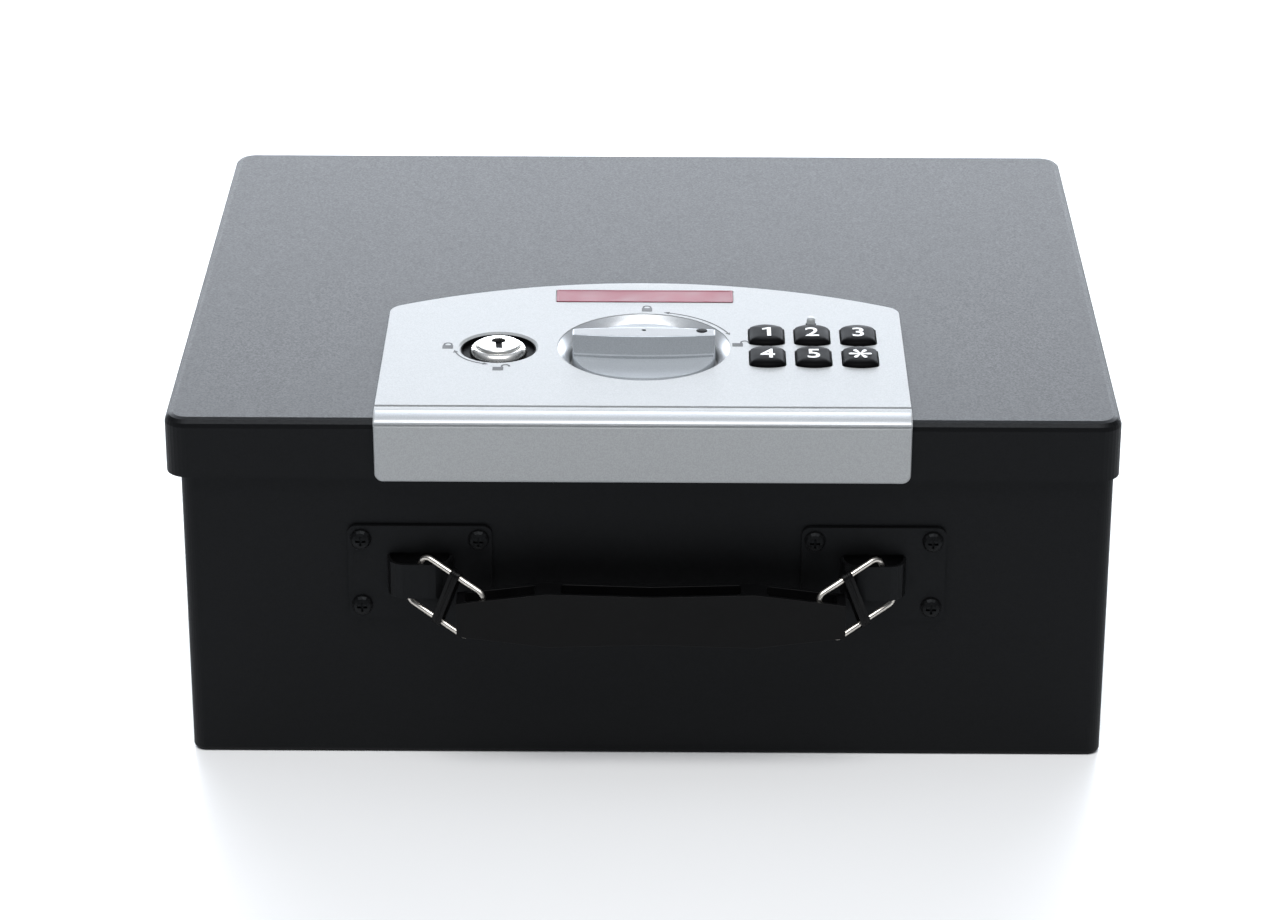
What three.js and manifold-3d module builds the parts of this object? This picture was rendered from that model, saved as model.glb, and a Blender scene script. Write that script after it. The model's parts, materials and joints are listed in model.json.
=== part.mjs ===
// Fireproof document box with a keypad lock: a sheet-steel base and hinged lid, a silver
// lock cover with knob, key lock and six keys, and a loose carry handle on the front.
//
// Units are millimetres. +Z is up, +X is to the right and -Y is the front. The origin is
// the centre of the base's floor face, where the box stands.

import * as THREE from 'three';
import { mergeVertices } from 'three/addons/utils/BufferGeometryUtils.js';
import Module from 'manifold-3d';

const wasm = await Module();
wasm.setup();

// ---------------------------------------------------------------- driving dimensions

const LID_WIDTH = 330;            // outer size of the lid, along X
const LID_DEPTH = 267;            // outer size of the lid, along Y
const LID_TOP = 130.4;            // height of the lid's top face
const SKIRT_DEPTH = 21.6;         // height of the lid's skirt
const LID_CORNER = 8;             // plan radius of the lid's corners
const LID_EDGE = 3;               // roll of the lid's top edge
const SHEET = 1.2;                // sheet steel of both shells
const OVERHANG = 3.3;             // how far the lid's skirt stands outside the base
const LID_OFFSET_X = -1.5;        // side play of the lid in its hinges
const GAP = 0.3;                  // clearance between pieces that rest on each other

const BASE_WIDTH = LID_WIDTH - 2 * OVERHANG;
const BASE_DEPTH = LID_DEPTH - 2 * OVERHANG;
const BASE_CORNER = 5;
const BASE_EDGE = 1.5;            // bend radius of the base's bottom edge
const BASE_RIM = 118;             // top of the base shell
const RIM_FLANGE = 6;             // inward return flange of the base shell
const INSULATION = 12;            // thickness of the fireproof fill
const LINER = 1.5;                // moulded inner tub
const GASKET_WIDTH = 6;
const GASKET_HEIGHT = 2.5;

const SKIRT_BOTTOM = LID_TOP - SKIRT_DEPTH;
const FRONT_FACE = -BASE_DEPTH / 2;
const REAR_FACE = BASE_DEPTH / 2;

// Lid interior: a liner pan whose plug reaches down into the base's mouth.
const PLUG_HALF_X = 142;
const PLUG_FRONT = -104;
const PLUG_REAR = 110;
const PLUG_BOTTOM = 104.8;
const LINER_FLANGE_Z = 122.6;
const LID_LINER = 1.2;
const BAY = { x0: -90, x1: 90, y0: -100, y1: -32 };      // lock bay through the plug

// Lock cover (bezel).
const COVER_HALF_X = 92.4;
const COVER_TOP = LID_TOP + 2.5;
const COVER_PLATE = 2.2;
const COVER_FRONT = -LID_DEPTH / 2 - 2.5;
const COVER_BOTTOM = 108.4;
const COVER_ARC_APEX = -11.9;     // rear edge of the cover, at its middle
const COVER_ARC_RADIUS = 187;
const COVER_CORNER = 7;
const COVER_ROUND_START = -128;   // where the top face begins to roll to the front
const COVER_ROUND_DROP = 3.4;
const COVER_GROOVE_Y = -125.6;
const KNOB_Y = -72.2;

const DISH_RADIUS = 30.8;
const DISH_FLOOR = 125.2;
const BOWL_RADIUS = 32.6;
const BOWL_BOTTOM = 123.4;
const HUB_HOLE = 10.6;
const KNOB_RADIUS = 25.5;
const KNOB_RIM_Z = 131;
const KNOB_TOP = 138.4;
const KNOB_BAR = 8.8;             // front-to-back thickness of the finger bar
const SPINDLE_RADIUS = 3;

const KEY_X = -51.8;
const KEY_Y = -73.5;
const KEY_HOLE_RADIUS = 13.6;
const BARREL_RADIUS = 9.5;
const PLUG_HEAD_RADIUS = 8.2;
const PLUG_HEAD_TOP = 134.5;

const BUTTON_COLUMNS = [43.8, 60.1, 76.6];
const BUTTON_ROWS = [-62.3, -82.2];
const BUTTON_NAMES = [['button_1', 'button_2', 'button_3'], ['button_4', 'button_5', 'button_star']];
const BUTTON_WIDTH = 13;
const BUTTON_LENGTH = 15.2;
const BUTTON_TOP = COVER_TOP + 1.7;
const LED_Y = -50.8;
const LED_RADIUS = 1.6;
const BADGE = { y: -24.8, width: 64.5, depth: 11.2 };

// Lock works, hung under the lid's plug.
const CHASSIS_Z = 103;
const CHASSIS_THICK = 1.5;
const BOLT_Z = 100.7;
const BOLT_THICK = 2;
const BOLT_TRAVEL = 10;           // the knob's quarter turn throws the bolt this far
const CRANK_RADIUS = BOLT_TRAVEL / Math.SQRT2;
const CRANK_PIN = 1.5;
const CAM_Z = 97.2;
const WORKS = { x: 95, y0: -103, y1: -28, z: 84, wall: 2 };
const TONGUE_X = 41;
const TONGUE_WIDTH = 22;
const TONGUE_FRONT = -102.3;
const PLUNGER = { x: 40, y: -60, radius: 2.5, bottom: 103.2, top: 123.5 };
const BATTERY_RADIUS = 7.1;
const BATTERY_LENGTH = 50;
const BATTERY_TRAY = { x0: -90.5, x1: -34.5, y0: -97, y1: -34, z0: 84.6, z1: 100.2 };

// Hinges on the back.
const HINGE_Y = 137.2;
const HINGE_Z = 109.3;
const HINGE_X = 95;
const HINGE_LENGTH = 50;
const KNUCKLE_RADIUS = 3.2;
const HINGE_PIN = 1.5;
const LEAF = 1.2;

// Carry handle on the front.
const PLATE_X = 79;
const PLATE_Z = 72.1;
const PLATE_WIDTH = 50.2;
const PLATE_HEIGHT = 35.5;
const SCREW_SPACING_X = 41;
const SCREW_SPACING_Z = 25.4;
const BRIDGE_HALF = 11.5;         // half the length of the lanced bridge
const BRIDGE_HEIGHT = 13;
const BRIDGE_DEPTH = 8.1;
const BRIDGE_SHEET = 1;
const HANDLE_OFFSET_X = 1.6;      // the loose handle hangs a little to one side
const RING_PIVOT_X = 82;
const RING_PIVOT_Y = -136;
const RING_PIVOT_Z = 72.6;
const RING_YAW = 29;              // degrees between the ring and the front face
const RING_DROOP = 22;            // degrees that the ring hangs below level
const RING_LENGTH = 26.4;           // wire centre to wire centre
const RING_HEIGHT = 20;
const WIRE_RADIUS = 1;
const CLIP_PLACE = 13.7;            // along the ring, from its pivot
const CLIP_WIDTH = 3.6;
const GRIP_HALF = 67.25;
const GRIP_Z = 63.4;
const GRIP_FRONT = -152.2;
const GRIP_REAR = -142.5;
const GRIP_WALL = 1.4;

// ---------------------------------------------------------------- helpers

const degrees = THREE.MathUtils.degToRad;

// A closed three.js geometry as a solid that can be joined and cut.
function solid(geometry) {
  const bare = geometry.index ? geometry.toNonIndexed() : geometry.clone();
  bare.deleteAttribute('normal');
  bare.deleteAttribute('uv');
  const merged = mergeVertices(bare, 1e-4);
  return new wasm.Manifold(new wasm.Mesh({
    numProp: 3,
    vertProperties: new Float32Array(merged.attributes.position.array),
    triVerts: new Uint32Array(merged.index.array),
  }));
}

function union(...parts) {
  return parts.reduce((sum, part) => sum.add(part));
}

function cut(body, ...tools) {
  return tools.reduce((rest, tool) => rest.subtract(tool), body);
}

function box(x0, x1, y0, y1, z0, z1) {
  const geometry = new THREE.BoxGeometry(x1 - x0, y1 - y0, z1 - z0);
  geometry.translate((x0 + x1) / 2, (y0 + y1) / 2, (z0 + z1) / 2);
  return solid(geometry);
}

// A cylinder along Z between two heights.
function rod(radius, z0, z1, x = 0, y = 0, sides = 20) {
  const geometry = new THREE.CylinderGeometry(radius, radius, z1 - z0, sides);
  geometry.rotateX(Math.PI / 2);
  geometry.translate(x, y, (z0 + z1) / 2);
  return solid(geometry);
}

// A cylinder along Y.
function rodY(radius, y0, y1, x, z, sides = 12) {
  const geometry = new THREE.CylinderGeometry(radius, radius, y1 - y0, sides);
  geometry.translate(x, (y0 + y1) / 2, z);
  return solid(geometry);
}

// A cylinder along X.
function rodX(radius, x0, x1, y, z, sides = 16) {
  const geometry = new THREE.CylinderGeometry(radius, radius, x1 - x0, sides);
  geometry.rotateZ(Math.PI / 2);
  geometry.translate((x0 + x1) / 2, y, z);
  return solid(geometry);
}

// A turned piece about a vertical axis through (x, y); points are [radius, height].
function turned(points, x = 0, y = 0, sides = 28) {
  const profile = points.map(([radius, height]) => new THREE.Vector2(radius, height));
  const geometry = new THREE.LatheGeometry(profile, sides);
  geometry.rotateX(Math.PI / 2);
  geometry.translate(x, y, 0);
  return solid(geometry);
}

function roundedRect(x0, x1, y0, y1, radius) {
  const shape = new THREE.Shape();
  shape.absarc(x1 - radius, y0 + radius, radius, -Math.PI / 2, 0);
  shape.absarc(x1 - radius, y1 - radius, radius, 0, Math.PI / 2);
  shape.absarc(x0 + radius, y1 - radius, radius, Math.PI / 2, Math.PI);
  shape.absarc(x0 + radius, y0 + radius, radius, Math.PI, 1.5 * Math.PI);
  return shape;
}

function polygon(points) {
  return new THREE.Shape(points.map(([x, y]) => new THREE.Vector2(x, y)));
}

// A plan shape carried up from z0 to z1.
function prism(shape, z0, z1, curveSegments = 4) {
  const geometry = new THREE.ExtrudeGeometry(shape, {
    depth: z1 - z0, bevelEnabled: false, curveSegments,
  });
  geometry.translate(0, 0, z0);
  return solid(geometry);
}

// A shape drawn as [y, z] carried along X.
function prismX(shape, x0, x1, curveSegments = 4) {
  const geometry = new THREE.ExtrudeGeometry(shape, {
    depth: x1 - x0, bevelEnabled: false, curveSegments,
  });
  geometry.rotateX(Math.PI / 2);
  geometry.rotateZ(Math.PI / 2);
  geometry.translate(x0, 0, 0);
  return solid(geometry);
}

// A shape drawn as [x, z] carried along Y.
function prismY(shape, y0, y1, curveSegments = 6) {
  const geometry = new THREE.ExtrudeGeometry(shape, {
    depth: y1 - y0, bevelEnabled: false, curveSegments,
  });
  geometry.rotateX(Math.PI / 2);
  geometry.translate(0, y1, 0);
  return solid(geometry);
}

// A block with rounded plan corners and one rolled edge, at its top or its bottom.
function rolledBlock(halfX, halfY, z0, z1, corner, roll, rolledEnd) {
  const inner = Math.max(corner - roll, 0.5);
  const shape = roundedRect(-halfX + roll, halfX - roll, -halfY + roll, halfY - roll, inner);
  const geometry = new THREE.ExtrudeGeometry(shape, {
    depth: z1 - z0, bevelEnabled: true, bevelThickness: roll, bevelSize: roll,
    bevelSegments: 3, curveSegments: 4,
  });
  geometry.translate(0, 0, rolledEnd === 'top' ? z0 - roll : z0 + roll);
  const reach = halfX + halfY;
  return solid(geometry).intersect(box(-reach, reach, -reach, reach, z0, z1));
}

// A round wire along an open path of points in one plane, with softened corners.
function wire(points, radius, bend, steps) {
  const path = new THREE.CurvePath();
  let start = points[0].clone();
  for (let i = 1; i < points.length - 1; i += 1) {
    const corner = points[i];
    const before = corner.clone().add(points[i - 1].clone().sub(corner).setLength(bend));
    const after = corner.clone().add(points[i + 1].clone().sub(corner).setLength(bend));
    path.add(new THREE.LineCurve3(start, before));
    path.add(new THREE.QuadraticBezierCurve3(before, corner.clone(), after));
    start = after;
  }
  path.add(new THREE.LineCurve3(start, points[points.length - 1].clone()));
  const section = new THREE.Shape();
  section.absarc(0, 0, radius, 0, 2 * Math.PI);
  return solid(new THREE.ExtrudeGeometry(section, { steps, extrudePath: path, curveSegments: 4 }));
}

const LOOKS = {
  powderBlack: { color: 0x1b1c1d, roughness: 0.55, metalness: 0.2 },
  silverPlastic: { color: 0xd4d7dc, roughness: 0.35, metalness: 0.5 },
  chrome: { color: 0xdadbd8, roughness: 0.12, metalness: 1.0 },
  nickelWire: { color: 0xb9b4a8, roughness: 0.25, metalness: 1.0 },
  zincSteel: { color: 0x9ba0a6, roughness: 0.4, metalness: 0.9 },
  blackPlastic: { color: 0x17181a, roughness: 0.6, metalness: 0.0 },
  linerGrey: { color: 0x3a3c3f, roughness: 0.7, metalness: 0.0 },
  rubber: { color: 0x161718, roughness: 0.8, metalness: 0.0 },
  plaster: { color: 0xc9c4b8, roughness: 0.95, metalness: 0.0 },
  badgeRed: { color: 0xc8707c, roughness: 0.4, metalness: 0.0 },
  lens: { color: 0xa9adb0, roughness: 0.15, metalness: 0.0 },
  boardGreen: { color: 0x1f5a3c, roughness: 0.5, metalness: 0.0 },
  batteryBlue: { color: 0x2c3f66, roughness: 0.4, metalness: 0.3 },
};

const documentBox = new THREE.Group();
const lid = new THREE.Group();
lid.position.x = LID_OFFSET_X;
documentBox.add(lid);

// Adds one sub-part to a group under its name.
function add(group, name, body, look) {
  const mesh = body.getMesh();
  const geometry = new THREE.BufferGeometry();
  geometry.setAttribute('position', new THREE.BufferAttribute(new Float32Array(mesh.vertProperties), 3));
  geometry.setIndex(new THREE.BufferAttribute(new Uint32Array(mesh.triVerts), 1));
  geometry.computeVertexNormals();
  const part = new THREE.Mesh(geometry, new THREE.MeshStandardMaterial(LOOKS[look]));
  part.name = name;
  group.add(part);
  return part;
}

// ---------------------------------------------------------------- base

const screwPlaces = [];
for (const side of [-1, 1]) {
  for (const across of [-1, 1]) {
    for (const up of [1, -1]) {
      screwPlaces.push({
        x: side * PLATE_X + across * SCREW_SPACING_X / 2,
        z: PLATE_Z + up * SCREW_SPACING_Z / 2,
      });
    }
  }
}

const SCREW_SHANK = 1.6;
const SCREW_HOLE = 2;
const screwHoles = screwPlaces.map(({ x, z }) => rodY(SCREW_HOLE, FRONT_FACE - 5, FRONT_FACE + 5, x, z, 10));

function baseShell() {
  const halfX = BASE_WIDTH / 2;
  const halfY = BASE_DEPTH / 2;
  const outside = rolledBlock(halfX, halfY, 0, BASE_RIM, BASE_CORNER, BASE_EDGE, 'bottom');
  const inX = halfX - SHEET;
  const inY = halfY - SHEET;
  const room = prism(roundedRect(-inX, inX, -inY, inY, BASE_CORNER - SHEET), SHEET, BASE_RIM - SHEET);
  const mouthX = inX - RIM_FLANGE;
  const mouthY = inY - RIM_FLANGE;
  const mouth = prism(roundedRect(-mouthX, mouthX, -mouthY, mouthY, 2), BASE_RIM - 3, BASE_RIM + 3);
  return cut(outside, room, mouth, ...screwHoles);
}

// The tub's inside: half sizes of the document space.
const ROOM_X = BASE_WIDTH / 2 - SHEET - GAP - INSULATION - GAP - LINER;
const ROOM_Y = BASE_DEPTH / 2 - SHEET - GAP - INSULATION - GAP - LINER;
const FLOOR_FILL = SHEET + GAP + INSULATION;
const ROOM_FLOOR = FLOOR_FILL + GAP + LINER;
const FLANGE_TOP = BASE_RIM + GAP + SHEET;

function baseInsulation() {
  const outX = BASE_WIDTH / 2 - SHEET - GAP;
  const outY = BASE_DEPTH / 2 - SHEET - GAP;
  const inX = outX - INSULATION;
  const inY = outY - INSULATION;
  const outside = prism(roundedRect(-outX, outX, -outY, outY, 3.5), SHEET + GAP, BASE_RIM - SHEET - GAP);
  return cut(outside, prism(roundedRect(-inX, inX, -inY, inY, 5), FLOOR_FILL, BASE_RIM));
}

function baseLiner() {
  const outX = ROOM_X + LINER;
  const outY = ROOM_Y + LINER;
  const flangeX = BASE_WIDTH / 2 - 1.5;
  const flangeY = BASE_DEPTH / 2 - 1.5;
  const tub = prism(roundedRect(-outX, outX, -outY, outY, 5.5), FLOOR_FILL + GAP, FLANGE_TOP);
  const flange = prism(roundedRect(-flangeX, flangeX, -flangeY, flangeY, 4), BASE_RIM + GAP, FLANGE_TOP);
  const room = prism(roundedRect(-ROOM_X, ROOM_X, -ROOM_Y, ROOM_Y, 4), ROOM_FLOOR, FLANGE_TOP + 1);
  return cut(union(tub, flange), room);
}

function baseGasket() {
  const inX = ROOM_X + 3;
  const inY = ROOM_Y + 3;
  const outX = inX + GASKET_WIDTH;
  const outY = inY + GASKET_WIDTH;
  const z0 = FLANGE_TOP + GAP;
  const band = prism(roundedRect(-outX, outX, -outY, outY, 8), z0, z0 + GASKET_HEIGHT);
  return cut(band, prism(roundedRect(-inX, inX, -inY, inY, 4), z0 - 1, z0 + GASKET_HEIGHT + 1));
}

// An angle on the tub's front wall, with a lip that the bolt's tongues slide under.
function strikePlate() {
  const wall = -ROOM_Y + GAP;
  const profile = polygon([
    [wall, 86], [wall + 1.5, 86], [wall + 1.5, 103.7], [wall + 8, 103.7], [wall + 8, 105.2], [wall, 105.2],
  ]);
  return prismX(profile, -62, 62);
}

add(documentBox, 'base_shell', baseShell(), 'powderBlack');
add(documentBox, 'base_insulation', baseInsulation(), 'plaster');
add(documentBox, 'base_liner', baseLiner(), 'linerGrey');
add(documentBox, 'base_gasket', baseGasket(), 'rubber');
add(documentBox, 'strike_plate', strikePlate(), 'zincSteel');

// ---------------------------------------------------------------- hinges

// A base leaf: plate on the rear wall, two shelves that carry the outer knuckles.
function baseLeaf(centre) {
  const x0 = centre - HINGE_LENGTH / 2;
  const x1 = centre + HINGE_LENGTH / 2;
  const third = HINGE_LENGTH / 3;
  const y0 = REAR_FACE + GAP;
  const shelfTop = HINGE_Z - KNUCKLE_RADIUS + 0.4;
  const plate = box(x0, x1, y0, y0 + LEAF, 86, shelfTop);
  const shelves = [[x0, x0 + third - GAP], [x1 - third + GAP, x1]].map(([from, to]) => union(
    box(from, to, y0, HINGE_Y + 1, shelfTop - LEAF, shelfTop),
    rodX(KNUCKLE_RADIUS, from, to, HINGE_Y, HINGE_Z),
  ));
  return cut(union(plate, ...shelves), rodX(HINGE_PIN + GAP, x0 - 1, x1 + 1, HINGE_Y, HINGE_Z));
}

// A lid leaf: plate on the rear of the skirt and the middle knuckle.
function lidLeaf(centre) {
  const half = HINGE_LENGTH / 2;
  const third = HINGE_LENGTH / 3;
  const y0 = LID_DEPTH / 2 + GAP;
  const plate = box(centre - half, centre + half, y0, y0 + LEAF, HINGE_Z + 4, LID_TOP - 4);
  const tab = box(centre - third / 2, centre + third / 2, y0, y0 + LEAF, HINGE_Z - 1, HINGE_Z + 5);
  const knuckle = rodX(KNUCKLE_RADIUS, centre - third / 2, centre + third / 2, HINGE_Y, HINGE_Z);
  const bore = rodX(HINGE_PIN + GAP, centre - half, centre + half, HINGE_Y, HINGE_Z);
  return cut(union(plate, tab, knuckle), bore);
}

for (const [side, centre] of [['left', -HINGE_X], ['right', HINGE_X]]) {
  const half = HINGE_LENGTH / 2;
  add(documentBox, `hinge_base_leaf_${side}`, baseLeaf(centre + LID_OFFSET_X), 'powderBlack');
  add(lid, `hinge_lid_leaf_${side}`, lidLeaf(centre), 'powderBlack');
  const pinX = centre + LID_OFFSET_X;
  add(documentBox, `hinge_pin_${side}`, rodX(HINGE_PIN, pinX - half, pinX + half, HINGE_Y, HINGE_Z), 'zincSteel');
}

// ---------------------------------------------------------------- lid

function lidShell() {
  const halfX = LID_WIDTH / 2;
  const halfY = LID_DEPTH / 2;
  const outside = rolledBlock(halfX, halfY, SKIRT_BOTTOM, LID_TOP, LID_CORNER, LID_EDGE, 'top');
  const inside = rolledBlock(
    halfX - SHEET, halfY - SHEET, SKIRT_BOTTOM - 5, LID_TOP - SHEET, LID_CORNER - SHEET, LID_EDGE - SHEET, 'top',
  );
  const bowlHole = rod(BOWL_RADIUS + 0.4, LID_TOP - 5, LID_TOP + 1, 0, KNOB_Y, 28);
  const barrelHole = rod(BARREL_RADIUS + 0.4, LID_TOP - 5, LID_TOP + 1, KEY_X, KEY_Y);
  const keypadWindow = box(35.5, 85, -92.5, -46, LID_TOP - 5, LID_TOP + 1);
  return cut(outside, inside, bowlHole, barrelHole, keypadWindow);
}

function lidInsulation() {
  const halfX = LID_WIDTH / 2 - SHEET - 3;
  const halfY = LID_DEPTH / 2 - SHEET - 3;
  const slabBottom = LINER_FLANGE_Z + LID_LINER + GAP;
  const top = LID_TOP - SHEET - GAP;
  const inset = LID_LINER + GAP;
  const slab = prism(roundedRect(-halfX, halfX, -halfY, halfY, 4), slabBottom, top);
  const plug = prism(
    roundedRect(-PLUG_HALF_X + inset, PLUG_HALF_X - inset, PLUG_FRONT + inset, PLUG_REAR - inset, 3.5),
    PLUG_BOTTOM + inset, slabBottom + 1,
  );
  const bay = box(BAY.x0 - 4, BAY.x1 + 4, -109, BAY.y1 + 2, 100, LID_TOP);
  return cut(union(slab, plug), bay);
}

function lidLiner() {
  const halfX = LID_WIDTH / 2 - SHEET - 2.4;
  const halfY = LID_DEPTH / 2 - SHEET - 2.4;
  const flange = prism(
    roundedRect(-halfX, halfX, -halfY, halfY, 4), LINER_FLANGE_Z, LINER_FLANGE_Z + LID_LINER,
  );
  const plug = prism(
    roundedRect(-PLUG_HALF_X, PLUG_HALF_X, PLUG_FRONT, PLUG_REAR, 5), PLUG_BOTTOM, LINER_FLANGE_Z + 0.5,
  );
  const hollow = prism(
    roundedRect(
      -PLUG_HALF_X + LID_LINER, PLUG_HALF_X - LID_LINER, PLUG_FRONT + LID_LINER, PLUG_REAR - LID_LINER, 3.8,
    ),
    PLUG_BOTTOM + LID_LINER, LID_TOP,
  );
  const bay = box(BAY.x0, BAY.x1, BAY.y0, BAY.y1, PLUG_BOTTOM - 1, PLUG_BOTTOM + 3);
  const bowlRelief = rod(BOWL_RADIUS + 0.5, LINER_FLANGE_Z - 1, LID_TOP, 0, KNOB_Y, 28);
  return cut(union(flange, plug), hollow, bay, bowlRelief);
}

add(lid, 'lid_shell', lidShell(), 'powderBlack');
add(lid, 'lid_insulation', lidInsulation(), 'plaster');
add(lid, 'lid_liner', lidLiner(), 'linerGrey');

// ---------------------------------------------------------------- lock cover

// Plan outline: straight sides and front, and a rear edge that bows backwards.
function coverOutline() {
  const centreY = COVER_ARC_APEX - COVER_ARC_RADIUS;
  const reach = COVER_ARC_RADIUS - COVER_CORNER;
  const cornerX = COVER_HALF_X - COVER_CORNER;
  const cornerY = centreY + Math.sqrt(reach ** 2 - cornerX ** 2);
  const meet = Math.atan2(cornerY - centreY, cornerX);
  const shape = new THREE.Shape();
  shape.moveTo(-COVER_HALF_X, COVER_FRONT);
  shape.lineTo(COVER_HALF_X, COVER_FRONT);
  shape.absarc(cornerX, cornerY, COVER_CORNER, 0, meet);
  shape.absarc(0, centreY, COVER_ARC_RADIUS, meet, Math.PI - meet);
  shape.absarc(-cornerX, cornerY, COVER_CORNER, Math.PI - meet, Math.PI);
  return shape;
}

// Side profile: top plate, groove, rolled front edge and the fascia over the skirt.
function coverProfile() {
  const shape = new THREE.Shape();
  const fasciaBack = -LID_DEPTH / 2 - GAP;
  const plateBottom = COVER_TOP - COVER_PLATE;
  shape.moveTo(0, COVER_TOP);
  shape.lineTo(0, plateBottom);
  shape.lineTo(fasciaBack, plateBottom);
  shape.lineTo(fasciaBack, COVER_BOTTOM);
  shape.lineTo(COVER_FRONT + 0.5, COVER_BOTTOM);
  shape.lineTo(COVER_FRONT, COVER_BOTTOM + 0.8);
  shape.lineTo(COVER_FRONT, COVER_TOP - COVER_ROUND_DROP);
  shape.absellipse(
    COVER_ROUND_START, COVER_TOP - COVER_ROUND_DROP, COVER_ROUND_START - COVER_FRONT, COVER_ROUND_DROP,
    Math.PI, Math.PI / 2, true,
  );
  shape.lineTo(COVER_GROOVE_Y - 0.6, COVER_TOP);
  shape.lineTo(COVER_GROOVE_Y, COVER_TOP - 0.6);
  shape.lineTo(COVER_GROOVE_Y + 0.6, COVER_TOP);
  return shape;
}

// Barrel-shaped key outline with bowed ends, grown by a margin.
function buttonOutline(x, y, margin) {
  const halfX = BUTTON_WIDTH / 2 + margin;
  const halfY = BUTTON_LENGTH / 2 + margin;
  const side = halfY - 3;
  const shape = new THREE.Shape();
  shape.moveTo(x - halfX, y - side);
  shape.quadraticCurveTo(x - halfX, y - side - 1.4, x - halfX + 2.2, y - side - 1.9);
  shape.quadraticCurveTo(x, y - 2 * halfY + side + 1.9, x + halfX - 2.2, y - side - 1.9);
  shape.quadraticCurveTo(x + halfX, y - side - 1.4, x + halfX, y - side);
  shape.lineTo(x + halfX, y + side);
  shape.quadraticCurveTo(x + halfX, y + side + 1.4, x + halfX - 2.2, y + side + 1.9);
  shape.quadraticCurveTo(x, y + 2 * halfY - side - 1.9, x - halfX + 2.2, y + side + 1.9);
  shape.quadraticCurveTo(x - halfX, y + side + 1.4, x - halfX, y + side);
  return shape;
}

function lockCover() {
  const plan = prism(coverOutline(), COVER_BOTTOM - 1, COVER_TOP + 1, 16);
  const body = plan.intersect(prismX(coverProfile(), -COVER_HALF_X, COVER_HALF_X, 5));
  const bowl = turned([
    [HUB_HOLE, BOWL_BOTTOM], [BOWL_RADIUS - 2, BOWL_BOTTOM], [BOWL_RADIUS, BOWL_BOTTOM + 3],
    [BOWL_RADIUS, COVER_TOP - 0.5], [HUB_HOLE, COVER_TOP - 0.5], [HUB_HOLE, BOWL_BOTTOM],
  ], 0, KNOB_Y, 40);
  const dish = turned([
    [0, DISH_FLOOR], [26.3, DISH_FLOOR], [27, 129], [28.6, 131.2], [DISH_RADIUS, COVER_TOP],
    [DISH_RADIUS, COVER_TOP + 2], [0, COVER_TOP + 2],
  ], 0, KNOB_Y, 40);
  const hubHole = rod(HUB_HOLE, BOWL_BOTTOM - 1, COVER_TOP, 0, KNOB_Y, 28);
  const keyHole = turned([
    [0, BOWL_BOTTOM], [KEY_HOLE_RADIUS, BOWL_BOTTOM], [KEY_HOLE_RADIUS, COVER_TOP - 1],
    [KEY_HOLE_RADIUS + 1, COVER_TOP], [KEY_HOLE_RADIUS + 1, COVER_TOP + 1], [0, COVER_TOP + 1],
  ], KEY_X, KEY_Y, 32);
  const buttonHoles = BUTTON_ROWS.flatMap((y) => BUTTON_COLUMNS.map(
    (x) => prism(buttonOutline(x, y, GAP), BOWL_BOTTOM, COVER_TOP + 1, 3),
  ));
  const ledHole = rod(LED_RADIUS + GAP, BOWL_BOTTOM, COVER_TOP + 1, BUTTON_COLUMNS[1], LED_Y, 12);
  const badgeBed = box(
    -BADGE.width / 2 - GAP, BADGE.width / 2 + GAP, BADGE.y - BADGE.depth / 2 - GAP,
    BADGE.y + BADGE.depth / 2 + GAP, COVER_TOP - 0.6, COVER_TOP + 1,
  );
  return cut(union(body, bowl), dish, hubHole, keyHole, ledHole, badgeBed, ...buttonHoles);
}

function badge() {
  const x = BADGE.width / 2;
  const y = BADGE.depth / 2;
  return prism(roundedRect(-x, x, BADGE.y - y, BADGE.y + y, 0.6), COVER_TOP - 0.3, COVER_TOP + 0.25, 2);
}

function ledLens() {
  const dome = COVER_TOP + 1.2;
  const seat = COVER_TOP - COVER_PLATE - GAP;
  return turned([
    [0, seat - 1.4], [LED_RADIUS + 0.6, seat - 1.4], [LED_RADIUS + 0.6, seat], [LED_RADIUS, seat],
    [LED_RADIUS, dome],
    [LED_RADIUS * 0.8, dome + 1], [LED_RADIUS * 0.4, dome + 1.5], [0, dome + 1.6],
  ], BUTTON_COLUMNS[1], LED_Y, 12);
}

add(lid, 'lock_cover', lockCover(), 'silverPlastic');
add(lid, 'badge', badge(), 'badgeRed');
add(lid, 'status_lens', ledLens(), 'lens');

// ---------------------------------------------------------------- knob and bolt

// A round knob with a finger bar across it and a scoop on each side of the bar.
function knob() {
  const disc = turned([
    [0, DISH_FLOOR + 0.5], [KNOB_RADIUS - 0.5, DISH_FLOOR + 0.5], [KNOB_RADIUS, DISH_FLOOR + 1],
    [KNOB_RADIUS, KNOB_RIM_Z - 0.6], [KNOB_RADIUS - 0.6, KNOB_RIM_Z], [0, KNOB_RIM_Z],
  ], 0, 0, 40);
  const scoopRadius = 25;
  const scoopDepth = 2.2;
  const scoops = [-1, 1].map((side) => rodX(
    scoopRadius, -40, 40, side * (KNOB_BAR / 2 + 10.2), KNOB_RIM_Z - scoopDepth + scoopRadius, 48,
  ));
  const bar = box(-40, 40, -KNOB_BAR / 2, KNOB_BAR / 2, KNOB_RIM_Z - 2, KNOB_TOP)
    .intersect(rod(KNOB_RADIUS, 100, 150, 0, 0, 40));
  const hub = rod(HUB_HOLE - 0.6, 121, DISH_FLOOR + 1, 0, 0, 28);
  const socket = rod(SPINDLE_RADIUS + GAP, 120, DISH_FLOOR + 1, 0, 0, 16);
  return cut(union(cut(disc, ...scoops), bar, hub), socket).translate([0, KNOB_Y, 0]);
}

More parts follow.
